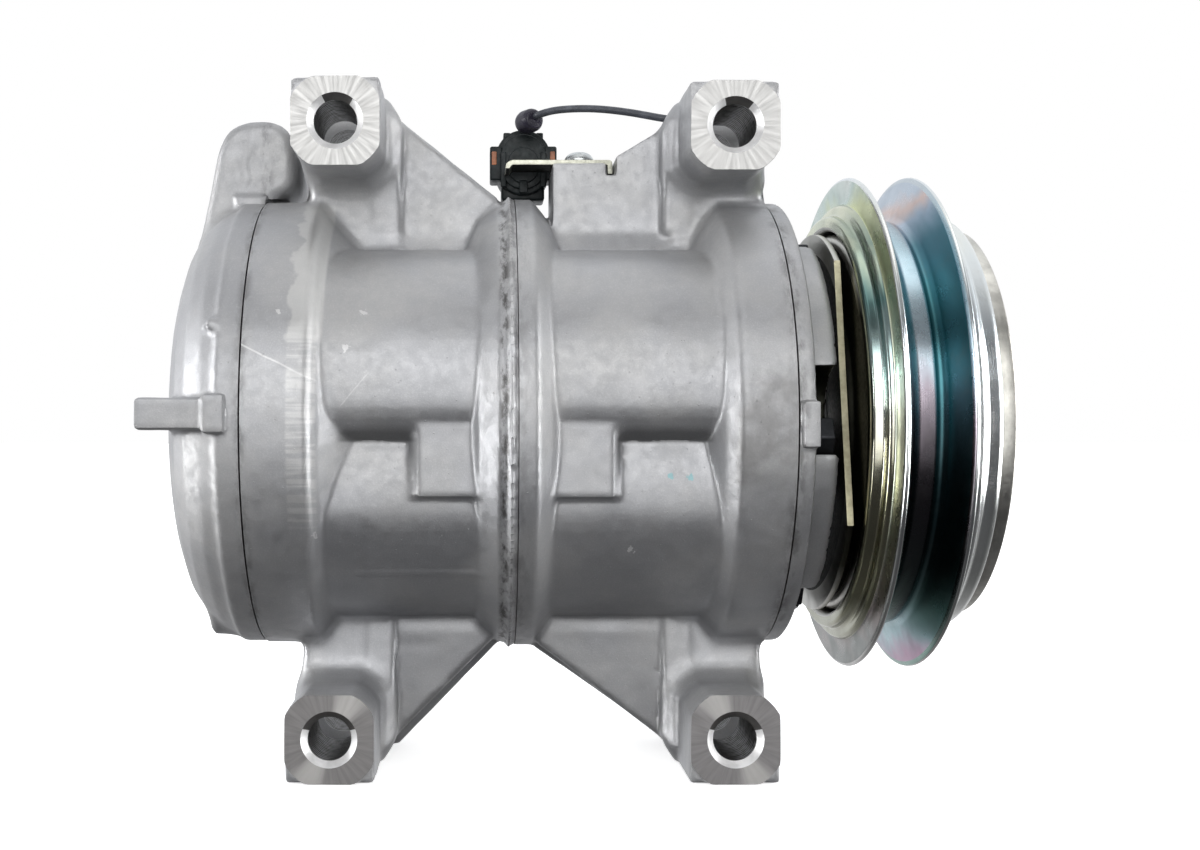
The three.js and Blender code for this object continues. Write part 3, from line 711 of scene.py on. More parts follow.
def grey(value, tint=(1, 1, 1)):
    return tuple(value * t for t in tint)


def cast_aluminium(name, marks, dull=0.0):
    """Sand-blasted die casting: mottled, slightly grained, darker in patches, with a few bright nicks."""
    s = Shader(name, metallic=0.65)
    clouds = s.noise(0.035, 4, 0.6)
    mottle = s.noise(0.35, 4, 0.65)
    grain = s.noise(2.4, 3, 0.7)
    color = s.mix(s.span(clouds, 0.35, 0.68), grey(0.37, (0.985, 0.995, 1.03)), grey(0.44))
    color = s.mix(s.span(mottle, 0.3, 0.75, 0, 0.35), color, grey(0.40, (0.98, 1, 1.04)))
    color = s.mix(s.span(grain, 0.45, 0.75, 0, 0.16), color, grey(0.78))
    s.set("Base Color", marks(s, color))
    rough = s.span(mottle, 0.3, 0.7, 0.40 + dull, 0.52 + dull)
    s.set("Roughness", s.math("ADD", rough, s.span(clouds, 0.4, 0.6, -0.04, 0.05)))
    s.bump(s.noise(0.22, 2), 0.06)
    s.bump(grain, 0.035)
    s.bump(s.span(s.cells(0.45), 0.03, 0.10, 1, 0), 0.05)
    return s.material


def seam_stains(s, color, seams):
    """Dark grime close to each seam plane x = seam, broken up by noise."""
    x = s.split()[0]
    patches = s.noise(0.16, 5, 0.7, (2.2, 1, 1))
    for seam, reach, depth in seams:
        near = s.span(s.math("ABSOLUTE", s.less(x, seam)), 0.3, reach, 1, 0)
        stain = s.times(near, s.span(patches, 0.42, 0.62), depth)
        color = s.mix(stain, color, grey(0.10, (1, 0.97, 0.95)))
    return color


def near_side(s, full=1.0):
    """full on the side that faces the camera, and 0 beyond it."""
    return s.span(s.split()[1], -30, -25, full, 0)


def scratch(s, color, start, end, width, shade, strength):
    """A thin straight mark on the near side, between two [x, z] points."""
    x, _, z = s.split()
    reach = math.dist(start, end)
    along_x, along_z = (end[0] - start[0]) / reach, (end[1] - start[1]) / reach
    dx, dz = s.less(x, start[0]), s.less(z, start[1])
    along = s.math("ADD", s.times(dx, along_x), s.times(dz, along_z))
    off = s.less(s.times(dx, along_z), s.times(dz, along_x))
    off = s.math("ADD", off, s.span(s.noise(0.1, 1), 0.3, 0.7, -0.12, 0.12))
    line = s.span(s.math("ABSOLUTE", off), width * 0.5, width, 1, 0)
    return s.mix(s.times(line, s.band(along, 0, reach, 1.0), near_side(s, strength)), color, grey(shade))


def speck(s, color, place, radius, shade):
    """A small uneven spot on the near side, at an [x, z] point."""
    x, _, z = s.split()
    away = s.length(s.pair(s.less(x, place[0]), s.less(z, place[1])))
    off = s.math("ADD", away, s.span(s.noise(0.9, 3), 0.3, 0.7, -0.6, 0.6))
    return s.mix(s.times(s.span(off, radius * 0.6, radius, 1, 0), near_side(s)), color, shade)


def crease_shade(s, color, low_x, high_x):
    """Painted shade under the upper lobe of the near side, where it meets the one below."""
    x, y, z = s.split()
    shade = s.times(s.span(z, -5.6, -4.6), s.span(z, -4.2, 5, 1, 0), s.band(x, low_x, high_x, 3))
    shade = s.times(shade, s.span(s.from_shaft(), 51.6, 53.6, 1, 0), s.span(y, -48, -46, 1, 0))
    return s.mix(s.times(shade, 0.62), color, grey(0.10))


def rear_block_marks(s, color):
    x, y, z = s.split()
    color = seam_stains(s, color, [(0, 3.4, 0.5), (-3.3, 1.8, 0.95), (-END_SEAM, 2.5, 0.5)])
    front = s.span(y, -20, -12, 1, 0)
    # the pale band that was smeared round the end of the block, with a ragged edge
    ragged = s.times(s.less(s.noise(0.12, 3, 0.6), 0.5), 9)
    smear = s.span(s.less(x, s.math("ADD", -56.0, ragged)), 0, 1.2)
    smear = s.times(smear, s.span(x, -48.2, -47.4, 1, 0), s.band(z, 21, 56, 3), front)
    color = s.mix(s.times(smear, 0.5), color, grey(0.66, (1, 1, 0.97)))
    color = crease_shade(s, color, -46, -25)
    # fine lines across the band below it
    lines = s.span(s.noise(0.9, 2, 0.5, (0.06, 0.2, 1)), 0.42, 0.6, 0.1, 0.5)
    lines = s.times(s.band(x, -55.4, -49.4, 0.8), s.band(z, -24, 22, 4), front, lines)
    color = s.mix(lines, color, grey(0.62, (1, 1, 0.98)))
    color = scratch(s, color, (-67, 18.4), (-49.4, 9.8), 0.28, 0.6, 0.7)
    color = scratch(s, color, (-43, 4), (-37, 11), 0.2, 0.6, 0.4)
    for place, size in (((-38, 26.6), 0.8), ((-42, 17.4), 1.04), ((-58.4, 26.7), 0.72), ((-50, -28), 0.64)):
        color = speck(s, color, place, size, grey(0.62))
    return color


def front_block_marks(s, color):
    x, _, z = s.split()
    color = seam_stains(s, color, [(0, 4.4, 0.35), (END_SEAM, 3, 0.5)])
    cloud = s.span(s.noise(0.09, 4, 0.6), 0.35, 0.6, 0.35, 0.95)
    patch = s.times(s.band(x, 53.5, 66, 2), s.band(z, -13, 8, 6), cloud, 0.8)
    color = s.mix(patch, color, grey(0.21, (1, 0.99, 0.98)))
    color = crease_shade(s, color, 24, 47)
    for place in ((37.5, -13.7), (42.4, -13.7)):
        color = speck(s, color, place, 0.9, (0.26, 0.41, 0.43))
    return speck(s, color, (28, -32), 0.9, grey(0.75))


def head_marks(s, color):
    return seam_stains(s, color, [(-END_SEAM, 2.5, 0.4), (END_SEAM, 3.5, 0.6)])


def machined(name, centre, base, streak, lit=0, painted_highlight=0.0, tint=(1, 0.995, 0.975)):
    """A spot-faced ring about a hole: fine circular cuts, radial marks, and a painted highlight in a lighter
    wedge both ways from the hole at lit degrees."""
    s = Shader(name, metallic=0.9)
    x, _, z = s.split()
    dx, dz = s.less(x, centre[0]), s.less(z, centre[1])
    angle, radius = s.math("ARCTAN2", dz, dx), s.length(s.pair(dx, dz))
    around = s.pair(s.times(angle, 5.5), s.times(radius, 0.05))
    spoke = s.add("TexNoise", {"Vector": around, "Scale": 2.0, "Detail": 4.0})["Fac"]
    color = s.mix(s.span(spoke, 0.35, 0.68, 0, streak), grey(base, tint), grey(base * 0.55, tint))
    # Painted highlight: a lighter wedge both ways from the hole at lit degrees.
    wedge = s.math("COSINE", s.times(s.less(angle, math.radians(lit)), 2))
    color = s.mix(s.span(wedge, 0.62, 1.0, 0, painted_highlight), color, grey(0.50, (1, 0.98, 0.95)))
    s.set("Base Color", color)
    s.set("Roughness", s.span(spoke, 0.3, 0.7, 0.38, 0.56))
    s.bump(spoke, 0.012)
    s.bump(s.math("SINE", s.times(radius, 26.0)), 0.004)
    return s.material


def bored(name):
    """The wall of a drilled hole, painted far darker than the faces as painted shade inside the hole."""
    s = Shader(name, metallic=0.9, roughness=0.38)
    dirt = s.noise(0.5, 4, 0.6)
    # Painted shade: the wall is painted near black, mottled by noise.
    s.set("Base Color", s.mix(s.span(dirt, 0.35, 0.65), grey(0.07, (1, 0.95, 0.88)), grey(0.20)))
    s.bump(s.math("SINE", s.times(s.split()[1], 4.2)), 0.25)
    return s.material


def zinc(name, stops, rough=0.2, dirt=0.2):
    """Bright passivated zinc: its colour changes from the bottom of the wheel (0) to the top (1), in the
    zinc's own tints and in painted reflections, bands painted lighter and darker by height.
    """
    s = Shader(name, metallic=1.0)
    x, _, z = s.split()
    drift = s.span(s.noise(0.03, 3, 0.5, (2.5, 1, 1), 0.6), 0.3, 0.7, -0.05, 0.05)
    # Painted reflections: the colour ramp follows the height on the wheel.
    level = s.math("ADD", s.math("MULTIPLY_ADD", z, 0.5 / WHEEL_R, 0.5), drift)
    smudge = s.noise(0.12, 5, 0.65)
    color = s.mix(s.span(smudge, 0.5, 0.75, 0, dirt), ramp(s.tree, level, stops), grey(0.24, (1, 0.98, 0.9)))
    s.set("Base Color", color)
    lines = s.pair(s.times(x, 2.0), s.times(s.from_shaft(), 2.0))
    s.bump(s.add("TexNoise", {"Vector": lines, "Scale": 3.0})["Fac"], 0.01)
    s.set("Roughness", s.span(smudge, 0.35, 0.7, rough, rough + 0.1))
    return s.material


def steel(name, color, rough=0.3, grain=1.2, bump=0.02, metallic=1.0):
    """Plain steel or zinc-plated strip, with fine grain and slightly uneven tone."""
    s = Shader(name, metallic=metallic)
    fine = s.noise(grain, 3, 0.6)
    s.set("Base Color", s.mix(s.span(s.noise(0.15, 4, 0.6), 0.35, 0.7, 0, 0.8), color, grey(0.62, color)))
    s.set("Roughness", s.span(fine, 0.3, 0.7, rough, rough + 0.14))
    s.bump(fine, bump)
    return s.material


def plastic(name, color, rough=0.42, sheen=0.5):
    s = Shader(name)
    lighter = tuple(min(1, c * 1.9 + 0.004) for c in color)
    s.set("Base Color", s.mix(s.span(s.noise(0.3, 3, 0.6), 0.4, 0.75), color, lighter))
    s.set("Roughness", s.span(s.noise(0.8, 3), 0.3, 0.7, rough - 0.07, rough + 0.12))
    s.set("Specular IOR Level", sheen)
    s.bump(s.noise(3.0, 2), 0.02)
    return s.material


CAST = {
    "rear_head": cast_aluminium("cast_rear_head", head_marks, 0.07),
    "rear": cast_aluminium("cast_rear_block", rear_block_marks),
    "front": cast_aluminium("cast_front_block", front_block_marks),
    "front_head": cast_aluminium("cast_front_head", head_marks),
}
# The lower ears' faces are painted darker than the upper ones as painted shade, and carry a painted highlight
# wedge.
MILLED = {
    "rear_top": machined("milled_rear_top", EARS["rear_top"], 0.50, 0.26),
    "front_top": machined("milled_front_top", EARS["front_top"], 0.50, 0.10),
    "rear_low": machined("milled_rear_low", EARS["rear_low"], 0.24, 0.2, 62, 0.75, (1, 0.97, 0.96)),
    "front_low": machined("milled_front_low", EARS["front_low"], 0.25, 0.2, 118, 0.75, (1, 0.97, 0.97)),
}
MILLED_FLAT = steel("milled_flat", grey(0.62), 0.28, 1.0)
BORED = bored("bored_hole")
# Chamfers are bright cut metal, painted near white and dull as a painted highlight.
CHAMFER = steel("chamfer_painted_highlight", grey(0.86), 0.34, 1.0, 0.0, 0.35)
# Painted shade: the upper part of each chamfer is painted dark.
CHAMFER_SHADE = steel("chamfer_painted_shade", grey(0.18, (1, 0.97, 0.94)), 0.36, 1.0, 0.0)
# The stops mix the passivation's own tints with painted reflections, lighter and darker bands by height on
# the wheel.
ZINC = {
    "pale_green": zinc("zinc_pale_green", [
        (0.0, (0.20, 0.21, 0.20)), (0.05, (0.17, 0.18, 0.17)), (0.12, (0.34, 0.29, 0.28)),
        (0.3, (0.36, 0.38, 0.30)), (0.6, (0.66, 0.72, 0.62)), (0.88, (0.58, 0.63, 0.34)),
        (0.94, (0.46, 0.56, 0.52)), (1.0, (0.60, 0.65, 0.62)),
    ], 0.26),
    "gold": zinc("zinc_gold", [
        (0.0, (0.40, 0.40, 0.32)), (0.16, (0.20, 0.20, 0.13)), (0.36, (0.42, 0.41, 0.28)),
        (0.5, (0.82, 0.81, 0.70)), (0.62, (0.50, 0.63, 0.62)), (0.76, (0.12, 0.22, 0.21)),
        (0.9, (0.58, 0.60, 0.44)), (1.0, (0.6, 0.62, 0.52)),
    ], 0.15),
    "bright": zinc("zinc_bright", [
        (0.0, (0.42, 0.41, 0.40)), (0.2, (0.58, 0.60, 0.58)), (0.45, (0.84, 0.86, 0.86)),
        (0.7, (0.76, 0.82, 0.85)), (0.85, (0.80, 0.82, 0.78)), (1.0, (0.72, 0.76, 0.78)),
    ], 0.17),
    "teal": zinc("zinc_teal", [
        (0.0, (0.40, 0.26, 0.36)), (0.07, (0.30, 0.44, 0.48)), (0.16, (0.16, 0.28, 0.28)),
        (0.28, (0.05, 0.075, 0.08)), (0.5, (0.05, 0.13, 0.15)), (0.72, (0.07, 0.22, 0.25)),
        (0.86, (0.10, 0.23, 0.28)), (0.92, (0.40, 0.48, 0.58)), (0.97, (0.60, 0.46, 0.42)),
        (1.0, (0.45, 0.52, 0.6)),
    ], 0.27, 0.1),
    "lilac": zinc("zinc_lilac", [
        (0.0, (0.22, 0.34, 0.30)), (0.2, (0.05, 0.06, 0.06)), (0.42, (0.09, 0.08, 0.09)),
        (0.52, (0.34, 0.30, 0.34)), (0.6, (0.5, 0.58, 0.64)), (0.8, (0.45, 0.60, 0.66)),
        (1.0, (0.5, 0.56, 0.6)),
    ], 0.24, 0.1),
    # Painted light at the top and bottom of this wall, and painted shade in its dark middle.
    "coil_wall": zinc("coil_wall", [
        (0.0, (0.62, 0.61, 0.58)), (0.2, (0.55, 0.54, 0.50)), (0.27, (0.06, 0.06, 0.045)),
        (0.42, (0.03, 0.03, 0.025)), (0.55, (0.12, 0.12, 0.08)), (0.72, (0.05, 0.05, 0.04)),
        (0.79, (0.56, 0.56, 0.52)), (1.0, (0.66, 0.65, 0.62)),
    ], 0.32, 0.1),
}
FACE_STEEL = steel("face_steel", (0.66, 0.65, 0.60))
COIL_BLACK = steel("coil_black", (0.045, 0.045, 0.035), 0.4)
GOLD_PLATE = steel("gold_plate", (0.50, 0.47, 0.33), 0.42)
STRIP_PLATE = steel("strip_plate", (0.52, 0.52, 0.44), 0.36)
# Painted shade: the strip's underside is painted near black.
STRIP_UNDER_SHADE = steel("strip_underside_painted_shade", (0.07, 0.07, 0.065), 0.5)
SCREW_PLATE = steel("screw_plate", (0.70, 0.73, 0.73), 0.24)
DARK_STEEL = steel("dark_steel", (0.06, 0.062, 0.068), 0.45)
GROUND_STEEL = steel("ground_steel", (0.62, 0.63, 0.65), 0.25)
BRONZE = steel("bronze", (0.45, 0.33, 0.18), 0.38)
TURNED_ALUMINIUM = steel("turned_aluminium", (0.74, 0.75, 0.77))
BLACK_PLASTIC = plastic("black_plastic", (0.010, 0.014, 0.015), sheen=0.25)
WINDING_BLACK = plastic("winding_black", (0.008, 0.008, 0.009), 0.6)
RUBBER = plastic("black_rubber", (0.012, 0.012, 0.013), 0.7)
GASKET = plastic("gasket_grey", (0.10, 0.105, 0.11), 0.7)
BOOT = plastic("boot_purple_black", (0.011, 0.009, 0.020), 0.4)
WIRE = plastic("wire_grey", (0.05, 0.055, 0.068), 0.45)
SEAL_ORANGE = plastic("seal_orange", (0.26, 0.10, 0.05), 0.5)


# ---------------------------------------------------------------- housing


def slab_between(xs, zs, y0, y1, r):
    return block(*xs, y0, y1, min(zs), max(zs), r)


def ear(casting, centre, up, leg, inner):
    """A mounting ear. inner is the sign of x towards the middle, and leg is the x span of its leg."""
    x, z = centre
    inside = x + inner * (EAR_HALF + 3.9)
    wall = x + inner * (EAR_HALF - 4)
    shoulder = z + up * 10
    width = (x - EAR_HALF, x + EAR_HALF)
    tip = (z, z + up * EAR_HALF)
    rise = [
        (wall, up * 50), (inside, up * 50), (inside, z + up * 4),
        (x + inner * EAR_HALF, shoulder), (wall, shoulder),
    ]
    for shape, fillet in (
        (slab_between(leg, (up * 40, z - up * 9), -19.5, WEB_BACK_Y, 1.6), 3.0),
        (slab(rise, -19.8, WEB_BACK_Y, 1.2), 0.8),
        (stub(EAR_RING_R, EAR_HALF, EAR_FACE_Y - 1, BOSS_ROOT_Y, x, z, 0.4), 8.0),
        (slab_between(width, tip, EAR_FACE_Y + FLANK, BOSS_ROOT_Y, 0.7), 0.5),
        (slab_between(width, (z, z - up * 16), BACK_BOSS_Y, WEB_BACK_Y, 1.2), 2),
        (stub(EAR_RING_R, EAR_HALF, BACK_BOSS_Y, EAR_BACK_Y + 1, x, z, 0.4), 1.5),
        (slab_between(width, tip, BACK_BOSS_Y, EAR_BACK_Y - FLANK, 0.7), 0.5),
    ):
        casting.add(shape, fillet)


def ring_frame(centre):
    """The tool that trims the ring's outline: a round flat-sided hole in a thick plate."""
    far = 20
    ways = [(math.cos(a), math.sin(a)) for a in np.linspace(0, 2 * math.pi, 72, endpoint=False)]
    radii = [min(EAR_RING_R, EAR_HALF / max(abs(c), abs(s))) for c, s in ways]
    points = []
    for level in (EAR_FACE_Y - 4, EAR_FACE_Y + 1.25):
        points += [(centre[0] + r * c, level, centre[1] + r * s) for (c, s), r in zip(ways, radii)]
        points += [(centre[0] + far * c, level, centre[1] + far * s) for c, s in ways]
    n = len(ways)
    faces = []
    for k in range(n):
        m = (k + 1) % n
        faces.append((k, m, n + m, n + k))
        faces.append((2 * n + m, 2 * n + k, 3 * n + k, 3 * n + m))
        faces.append((k, 2 * n + k, 2 * n + m, m))
        faces.append((n + m, 3 * n + m, 3 * n + k, n + k))
    return welded(mesh_object("tool", points, faces))


def ear_tools(centre):
    """What is machined off an ear: both faces, its outline at the front, and its chamfered hole."""
    x, z = centre
    wide, narrow = EAR_CHAMFER_R + 1, EAR_HOLE_R - 0.3
    around = (x - 18, x + 18)
    return [
        box("tool", *around, EAR_FACE_Y - 8, EAR_FACE_Y, z - 18, z + 18),
        ring_frame(centre),
        box("tool", *around, EAR_BACK_Y, EAR_BACK_Y + 8, z - 18, z + 18),
        rod("tool", EAR_HOLE_R, "y", EAR_FACE_Y - 5, EAR_BACK_Y + 5, x, z, 64),
        rod("tool", wide, "y", EAR_FACE_Y - 1, EAR_FACE_Y + CHAMFER_DEEP, x, z, 64, narrow),
        rod("tool", narrow, "y", EAR_BACK_Y - CHAMFER_DEEP, EAR_BACK_Y + 1, x, z, 64, wide),
    ]


def outward(side, a, b):
    """Two distances from the seam as low and high x, on the side of it that side gives."""
    return sorted((side * a, side * b))


def inside_tools(side):
    """What is bored out of a cylinder block: its chamber, recess, shaft hole, cylinders and bolt holes."""
    tools = [
        rod("tool", CHAMBER_R, "x", *outward(side, -2, CHAMBER), 0, 0, 72),
        rod("tool", RECESS_R, "x", *outward(side, DECK, END_SEAM + 2), 0, 0, 72),
        rod("tool", SHAFT_HOLE_R, "x", *outward(side, CHAMBER - 1, END_SEAM), 0, 0, 40),
    ]
    through = outward(side, -2, END_SEAM + 2)
    for i in range(CYLINDERS):
        cylinder, bolt = polar(lobe_angle(i), CYLINDER_CIRCLE), polar(crease_angle(i), BOLT_CIRCLE)
        tools.append(rod("tool", BORE_R + BORE_PLAY, "x", *through, *cylinder, 64))
        tools.append(rod("tool", BOLT_HOLE_R, "x", *through, *bolt, 20))
    return tools


def near_hole(c, radius, centres):
    """Which face centres lie within a radius of the axis of a hole at one of the centres."""
    return np.any([np.hypot(c[:, 0] - x, c[:, 2] - z) < radius for x, z in centres], axis=0)


def is_ear_face(name):
    def where(c, n):
        front = (n[:, 1] < -0.999) & (np.abs(c[:, 1] - EAR_FACE_Y) < 0.05)
        back = (n[:, 1] > 0.999) & (np.abs(c[:, 1] - EAR_BACK_Y) < 0.05)
        return near_hole(c, EAR_RING_R + 0.6, [EARS[name]]) & (front | back)

    return where


def is_chamfer(c, n):
    slope = (np.abs(n[:, 1]) > 0.3) & (np.abs(n[:, 1]) < 0.93)
    ends = (c[:, 1] < EAR_FACE_Y + CHAMFER_DEEP) | (c[:, 1] > EAR_BACK_Y - CHAMFER_DEEP)
    return slope & ends & near_hole(c, EAR_CHAMFER_R + 0.3, EARS.values())


def is_shaded_chamfer(c, n):
    """The upper part of each chamfer, which is painted dark as painted shade."""
    shaded_part = np.zeros(len(c), bool)
    for name, from_x, from_z in (
        ("rear_top", -3.2, 5.0), ("front_top", -2.6, 5.0), ("rear_low", -9, 2.4), ("front_low", -9, 2.4)
    ):
        x, z = EARS[name]
        part = (c[:, 0] - x > from_x) & (c[:, 2] - z > from_z)
        shaded_part |= part & near_hole(c, EAR_CHAMFER_R + 0.3, [EARS[name]])
    return is_chamfer(c, n) & shaded_part


def is_bore(c, n):
    return near_hole(c, EAR_HOLE_R + 0.02, EARS.values()) & (np.abs(n[:, 1]) < 0.1)


def is_inside(c, n):
    """The walls of everything that is bored out of a block from its two ends."""
    r = np.hypot(c[:, 1], c[:, 2])
    deep = (np.abs(c[:, 0]) > DECK - 0.5) & (c[:, 1] * n[:, 1] + c[:, 2] * n[:, 2] < r * 0.1)
    return (r < 49.4) | (deep & (r < RECESS_R + 0.05))


def zone(low_x=-999, high_x=999, low_r=-1, high_r=999):
    """A test for faces with a centre in a span of x and of distance from the shaft axis."""

    def where(c, n):
        r = np.hypot(c[:, 1], c[:, 2])
        return (c[:, 0] > low_x) & (c[:, 0] < high_x) & (r > low_r) & (r < high_r)

    return where


def solid_of(profile):
    """A solid of revolution in a casting, whose outline starts and ends on the shaft axis."""
    return spun([(profile[0][0], 0), *profile, (profile[-1][0], 0)])


def cast_ripples(casting, seed):
    casting.ripple(7, 0.05, seed)
    casting.ripple(2.5, 0.02, seed + 1)


def cylinder_block(end, side, rings, legs, details, seed):
    """One half of the housing. side is the sign of its x. rings and details are shapes with fillets."""
    low, high = drawn(f"{end}_cylinder_block")
    casting = Casting(low - 4, high + 4)
    casting.add(lobed(*outward(side, -OVERRUN, END_SEAM + OVERRUN)))
    for shape, fillet in rings:
        casting.add(shape, fillet)
    if side < 0:
        casting.cut(spun(GROOVE), 0.3)
    for height, up in (("top", 1), ("low", -1)):
        ear(casting, EARS[f"{end}_{height}"], up, legs[height], -side)
    for shape, fillet in details:
        casting.add(shape, fillet)
    cast_ripples(casting, seed)
    obj = casting.skin(f"{end}_block")
    for span_x in (outward(side, SEAM_GAP, -20), outward(side, END_SEAM - END_GAP, 90)):
        cut(obj, box("tool", *span_x, -90, 90, -110, 110))
    cut(obj, *ear_tools(EARS[f"{end}_top"]), *ear_tools(EARS[f"{end}_low"]), *inside_tools(side))
    faces = [(MILLED[name], is_ear_face(name)) for name in (f"{end}_top", f"{end}_low")]
    # Chamfers get a painted highlight, and painted shade in their upper parts.
    walls = [(CHAMFER, is_chamfer), (CHAMFER_SHADE, is_shaded_chamfer), (BORED, is_bore)]
    looks = [CAST[end], *faces, *walls, (MILLED_FLAT, is_inside)]
    placed(obj, "housing", "cast", [f"{end}_cylinder_block"], *looks)


GROOVE = [(-2.5, 80), (-2.5, 61.2), (-3.0, 60.7), (-4.0, 60.7), (-4.3, 61.2), (-4.3, 80)]
GUSSET_LEAN = (0.13, 56)
GUSSET_Y = (-18.5, 9)
STEP_Y = (-11, 5)
LUG_Y = (-53.7, -42)
LINE_Y = -42.5


def rear_block():
    flange = [
        (-END_SEAM - OVERRUN, FLANGE_R), (-51.8, FLANGE_R), (-50.4, 59.8), (-48.4, 57), (-42.2, 51), (-37, 46)
    ]
    rib = [(OVERRUN, 61.4), (-3.2, 61.4), (-4.6, 60.6), (-9.6, 57), (-12.6, 51), (-13.6, 46)]
    ridge = [(-0.9, 50), (-0.9, 62.3), (-1.9, 62.3), (-2.3, 50)]
    gusset = [(-34, 40), (-34, 81), (-30.4, 81), (-4.6, 60), (-4.6, 40)]
    low_gusset = [(-35, -40), (-35, -85), (-32, -85), (-6.1, -58.4), (-6.1, -40)]
    low_step = [(-35, -40), (-35, -88), (-31.6, -88), (-4.9, -60.6), (-4.9, -40)]
    rings = [(solid_of(flange), 0.7), (solid_of(rib), 0.8), (spun(ridge), 0.4)]
    details = [
        (slab(gusset, *GUSSET_Y, 1.2, *GUSSET_LEAN), 1.6),
        (slab(low_gusset, *GUSSET_Y, 1.2, *GUSSET_LEAN), 1.6),
        (slab(low_step, *STEP_Y, 1.6), 1.0),
        (lug(-26.5, -8, *LUG_Y, -18.6, -1.0, -1), 1.4),
        (capsule((-40, LINE_Y, -38.2), (-8, LINE_Y, -38.2), 0.5), 0.8),
    ]
    cylinder_block("rear", -1, rings, {"top": (-54, -30.4), "low": (-56.5, -32.8)}, details, 3)


def front_block():
    flange = [
        (END_SEAM + OVERRUN, FLANGE_R), (54.2, FLANGE_R), (53.2, 60.2), (50.4, 57), (46.8, 51), (45.6, 46)
    ]
    rib = [(-OVERRUN, 61.6), (4.2, 61.6), (5.2, 60.9), (8.4, 57), (11.4, 51), (12.2, 46)]
    gusset = [
        (10.2, 40), (10.2, 69.5), (24.7, 69.5), (24.7, 66.4), (27.2, 66.4), (27.2, 71.2),
        (42.4, 80.2), (47, 80.2), (47, 40),
    ]
    low_gusset = [(6.2, -40), (6.2, -59.5), (42.4, -87.6), (47, -87.6), (47, -40)]
    low_step = [(4.6, -40), (4.6, -60.6), (6, -61.8), (32, -79.8), (32, -40)]
    details = [
        (slab(gusset, -17.5, 9, 0.6), 1.6),
        (slab(low_gusset, *GUSSET_Y, 1.2, *GUSSET_LEAN), 1.6),
        (slab(low_step, *STEP_Y, 1.6), 1.0),
        (lug(8, 24.9, *LUG_Y, -18.8, -1.0, 1, 1.8), 1.4),
        (capsule((10, LINE_Y, -36.4), (40, LINE_Y, -36.4), 0.5), 0.8),
    ]
    rings = [(solid_of(flange), 0.8), (solid_of(rib), 0.8)]
    cylinder_block("front", 1, rings, {"top": (42, 66), "low": (42, 65.5)}, details, 5)


def rear_head():
    low, high = drawn("rear_head")
    casting = Casting(low - 4, high + 4)
    dome = [
        (-END_SEAM + 3, 60.4), (-73.2, 60.4), (-73.6, 59.4), (-77.5, 57.6), (-81.5, 54.4),
        (-85, 49.5), (-87.4, 43), (-88.9, 35), (-89.6, 26),
    ]
    tower = [
        (-86.5, 30), (-85.2, 50), (-82.6, 62), (-80.4, 74), (-77.6, 79.4), (-73, 81.6), (-66, 81.8),
        (-61.5, 79.6), (-59.6, 74), (-59.6, 63), (-67.4, 60), (-67.4, 30),
    ]
    flange = [(-82, 46), (-82, 82), (-62.5, 82), (-62.5, 67), (-67.3, 63), (-67.3, 46)]
    parting = [(-70.6, 79.6), (-71.4, 74.6), (-73.3, 70.4), (-72.4, 65.7), (-74.7, 61.4)]
    for shape, fillet in (
        (solid_of(dome), 0),
        (slab(eased(tower, 6, 3), TOWER_Y, 30, 2.6), 3.0),
        (slab(flange, 29, 39, 1.5), 2.0),
        (bar_boss(VALVE_ANGLE, VALVE_X, 44, 61, 8.0), 2.5),
        (block(-92, -70.5, -61.4, -48, -2.2, 5.6, 0.7), 0.8),
        (block(-75.8, -70.4, -62.6, -48, -3.0, 6.4, 0.6), 0.6),
        (bar_x(7.4, -81.6, -66, *polar(-77, 51.5), 1.4), 2.0),
        (ball(-74.4, -54.4, 23.3, 1.9), 0.8),
        (block(-75.4, -66.9, -15.0, -5, 50, 61.2, 0.5), 0.3),
    ):
        casting.add(shape, fillet)
    for a, b in zip(parting, parting[1:]):
        casting.add(capsule((a[0], TOWER_Y, a[1]), (b[0], TOWER_Y, b[1]), 0.6), 0.6)
    cast_ripples(casting, 7)
    obj = casting.skin("rear_head_shell")
    cut(
        obj,
        rod("tool", 61.8, "x", -END_SEAM - END_GAP, -50, 0, 0, 96),
        *head_tools(-1, 79),
        box("tool", -90, -50, PORT_FACE_Y, 60, 46.9, 95),
        rod("tool", 7.5, "y", 10, 45, -73, 71, 40),
        rod("tool", 6, "y", 10, 45, -72, 54.5, 40),
        rod("tool", 3.4, "y", 26, 45, -65.4, 62.8, 24),
        turn_x(rod("tool", 5.1, "z", 44, 70, VALVE_X, 0, 24), VALVE_ANGLE),
    )
    seat = -END_SEAM - END_GAP
    looks = [
        CAST["rear_head"],
        (MILLED_FLAT, lambda c, n: (n[:, 1] > 0.999) & (np.abs(c[:, 1] - PORT_FACE_Y) < 0.05)),
        (MILLED_FLAT, lambda c, n: (n[:, 0] > 0.999) & (np.abs(c[:, 0] - seat) < 0.05)),
    ]
    placed(obj, "housing", "cast", ["rear_head"], *looks)


def bar_boss(angle, x0, r0, r1, radius):
    """A round boss on the head that points away from the shaft at an angle."""
    out_y, out_z = polar(angle, 1)

    def distance(x, y, z):
        out = y * out_y + z * out_z
        across = length(x - x0, y * out_z - z * out_y)
        return box_like([span(out, r0, r1), across - radius], 1.0)

    y, z = polar(angle, (r0 + r1) / 2)
    half = (r1 - r0) / 2 + radius
    return distance, (x0 - radius, y - half, z - half), (x0 + radius, y + half, z + half)


def head_tools(side, outer):
    """The suction and discharge chambers that a head leaves open towards its valve plate."""
    rooms = []
    for inner_r, outer_r in ((17, 33.5), (36.5, 41)):
        start, end = side * 60, side * outer
        rooms.append(turned("tool", [(start, inner_r), (start, outer_r), (end, outer_r), (end, inner_r)], 64))
    return rooms


